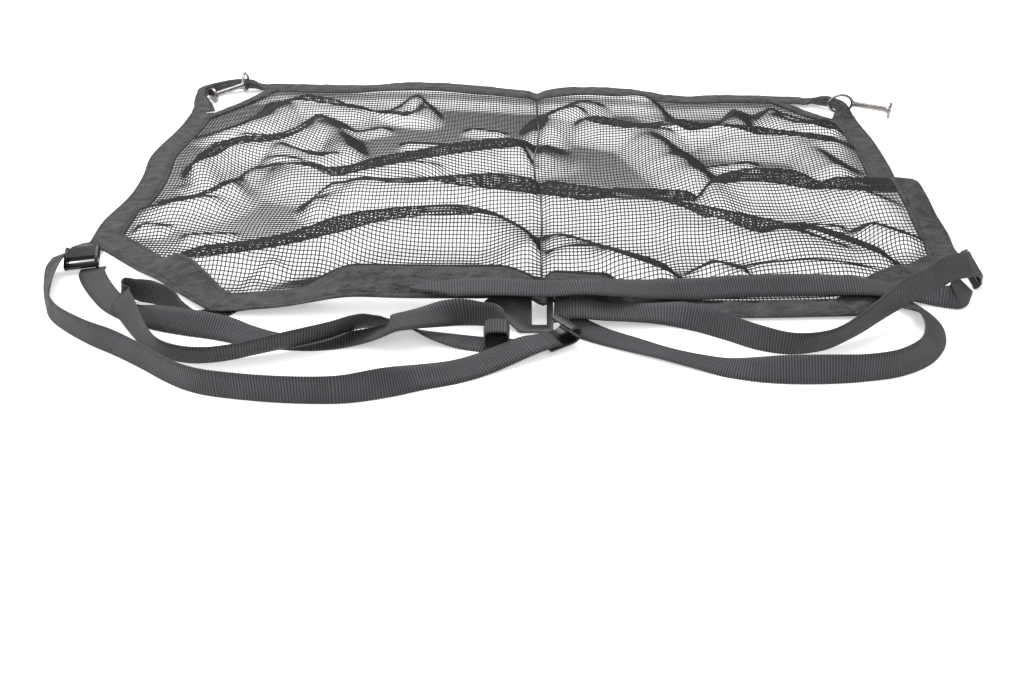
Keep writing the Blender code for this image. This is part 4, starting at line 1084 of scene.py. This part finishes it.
def buckle(name, place, forward, upward, finish):
    """A ladder buckle: two cheeks, a rear bar, a middle bar, a roller on two stubs and a sloping tongue."""
    half_long, half_wide, half_high = 0.5 * BUCKLE_LENGTH, 0.5 * BUCKLE_WIDTH, 0.5 * BUCKLE_HEIGHT
    bm = bmesh.new()
    for side in (-1, 1):
        corners = [bm.verts.new((x * half_long, side * half_wide, z * half_high)) for x, z in CHEEK]
        bmesh.ops.translate(bm, verts=extruded(bm, [bm.faces.new(corners)]), vec=(0, -side * BUCKLE_WALL, 0))
    inside = BUCKLE_WIDTH - 1.4 * BUCKLE_WALL
    block(bm, (0.0048, inside, 0.0044), Matrix.Translation((-half_long + 0.0024, 0, -0.0012)))
    block(bm, (0.0052, inside, 0.0040), Matrix.Translation((-0.0012, 0, -0.0014)))
    tongue = Matrix.Translation((-0.0045, 0, half_high - 0.0012)) @ Matrix.Rotation(math.radians(6), 4, "Y")
    block(bm, (0.0125, inside, 0.0018), tongue)

    def sideways(start, side):
        """A frame at a place across the roller's line, whose X points to one side."""
        spot = Matrix.Translation((half_long - ROLLER_INSET, start, -ROLLER_DROP))
        return spot @ Matrix.Rotation(math.radians(90 * side), 4, "Z")

    rod(bm, sideways(0.5 * inside, -1), 0, inside, ROLLER_RADIUS, ROLLER_RADIUS, 28)
    for side in (-1, 1):
        rod(bm, sideways(side * (half_wide - 0.0004), side), 0, 0.0012, STUB_RADIUS, 0.0016, 20)
    bmesh.ops.transform(bm, matrix=facing(place, forward, upward), verts=bm.verts)
    soften(add_piece(name + "_moulding", bm, finish, [name]), 0.0005, 3)


# ---- stage, light and camera

def stage(finish):
    bm = bmesh.new()
    bmesh.ops.create_grid(bm, x_segments=8, y_segments=8, size=9)
    floor = link_mesh("floor", bm, finish)


def soft_light(name, place, aim, size, power):
    """A wide rectangle of light that faces its aim."""
    lamp = bpy.data.lights.new(name, "AREA")
    lamp.shape = "RECTANGLE"
    lamp.size, lamp.size_y = size
    lamp.energy = power
    holder = bpy.data.objects.new(name, lamp)
    holder.location = place
    holder.rotation_euler = (Vector(aim) - Vector(place)).to_track_quat("-Z", "Y").to_euler()
    bpy.context.scene.collection.objects.link(holder)


def studio():
    world = bpy.data.worlds.new("studio")
    world.use_nodes = True
    sky = world.node_tree.nodes["Background"].inputs
    sky["Color"].default_value = grey(1.0)
    sky["Strength"].default_value = 0.55
    bpy.context.scene.world = world
    bpy.context.scene.view_settings.view_transform = "Standard"
    soft_light("overhead softbox", (-0.25, 0.9, 1.9), (0, 0.1, 0), (2.2, 1.6), 46)
    soft_light("left softbox", (-1.9, -0.5, 1.3), (0, 0, 0), (1.4, 1.2), 22)
    soft_light("front fill", (0.7, -2.0, 1.6), (0, 0, 0), (1.6, 1.2), 14)


def camera():
    lens = bpy.data.cameras.new("camera")
    lens.lens = LENS
    lens.sensor_width = 36
    lens.shift_x = SIDE_SHIFT
    holder = bpy.data.objects.new("camera", lens)
    holder.location = EYE_PLACE
    holder.rotation_euler = (math.radians(EYE_TILT), 0, 0)
    bpy.context.scene.collection.objects.link(holder)
    bpy.context.scene.camera = holder


def main():
    camera()
    studio()
    stage(pale_floor())
    yarn, cloth, strap = knitted_yarn(), bound_cloth(), ribbed_webbing()
    gloss = moulding("black moulding", 0.002, 0.010, 0.24, 700)
    satin = moulding("hook moulding", 0.012, 0.036, 0.42, 900)
    steel = polished_steel()
    net(yarn)
    bands(cloth)
    corner_loop("corner_loop_left", LOOP_LEFT, cloth)
    corner_loop("corner_loop_right", LOOP_RIGHT, cloth)
    straps(strap)
    end_loop(strap)
    tab("buckle_tab_left", TAB_LEFT, cloth)
    tab("buckle_tab_right", TAB_RIGHT, cloth)
    eye_pin("pin_left", (-0.4180, 0.6955, 0.0147), (0, -1, 0), (-0.68, -0.73, -0.07), steel)
    eye_pin("pin_right", (0.4395, 0.5910, 0.0147), (1, 0, 0), (0.94, -0.34, -0.07), steel)
    plate_hook(satin)
    curled_hook(gloss)
    buckle("buckle_left", (-0.4490, 0.1000, 0.0120), (0.17, -0.90, -0.38), (0, -0.35, 1), gloss)
    buckle("buckle_right", (0.4345, 0.0650, 0.0162), (-0.45, -0.89, 0.0), (0.70, -0.354, 0.62), gloss)


main()
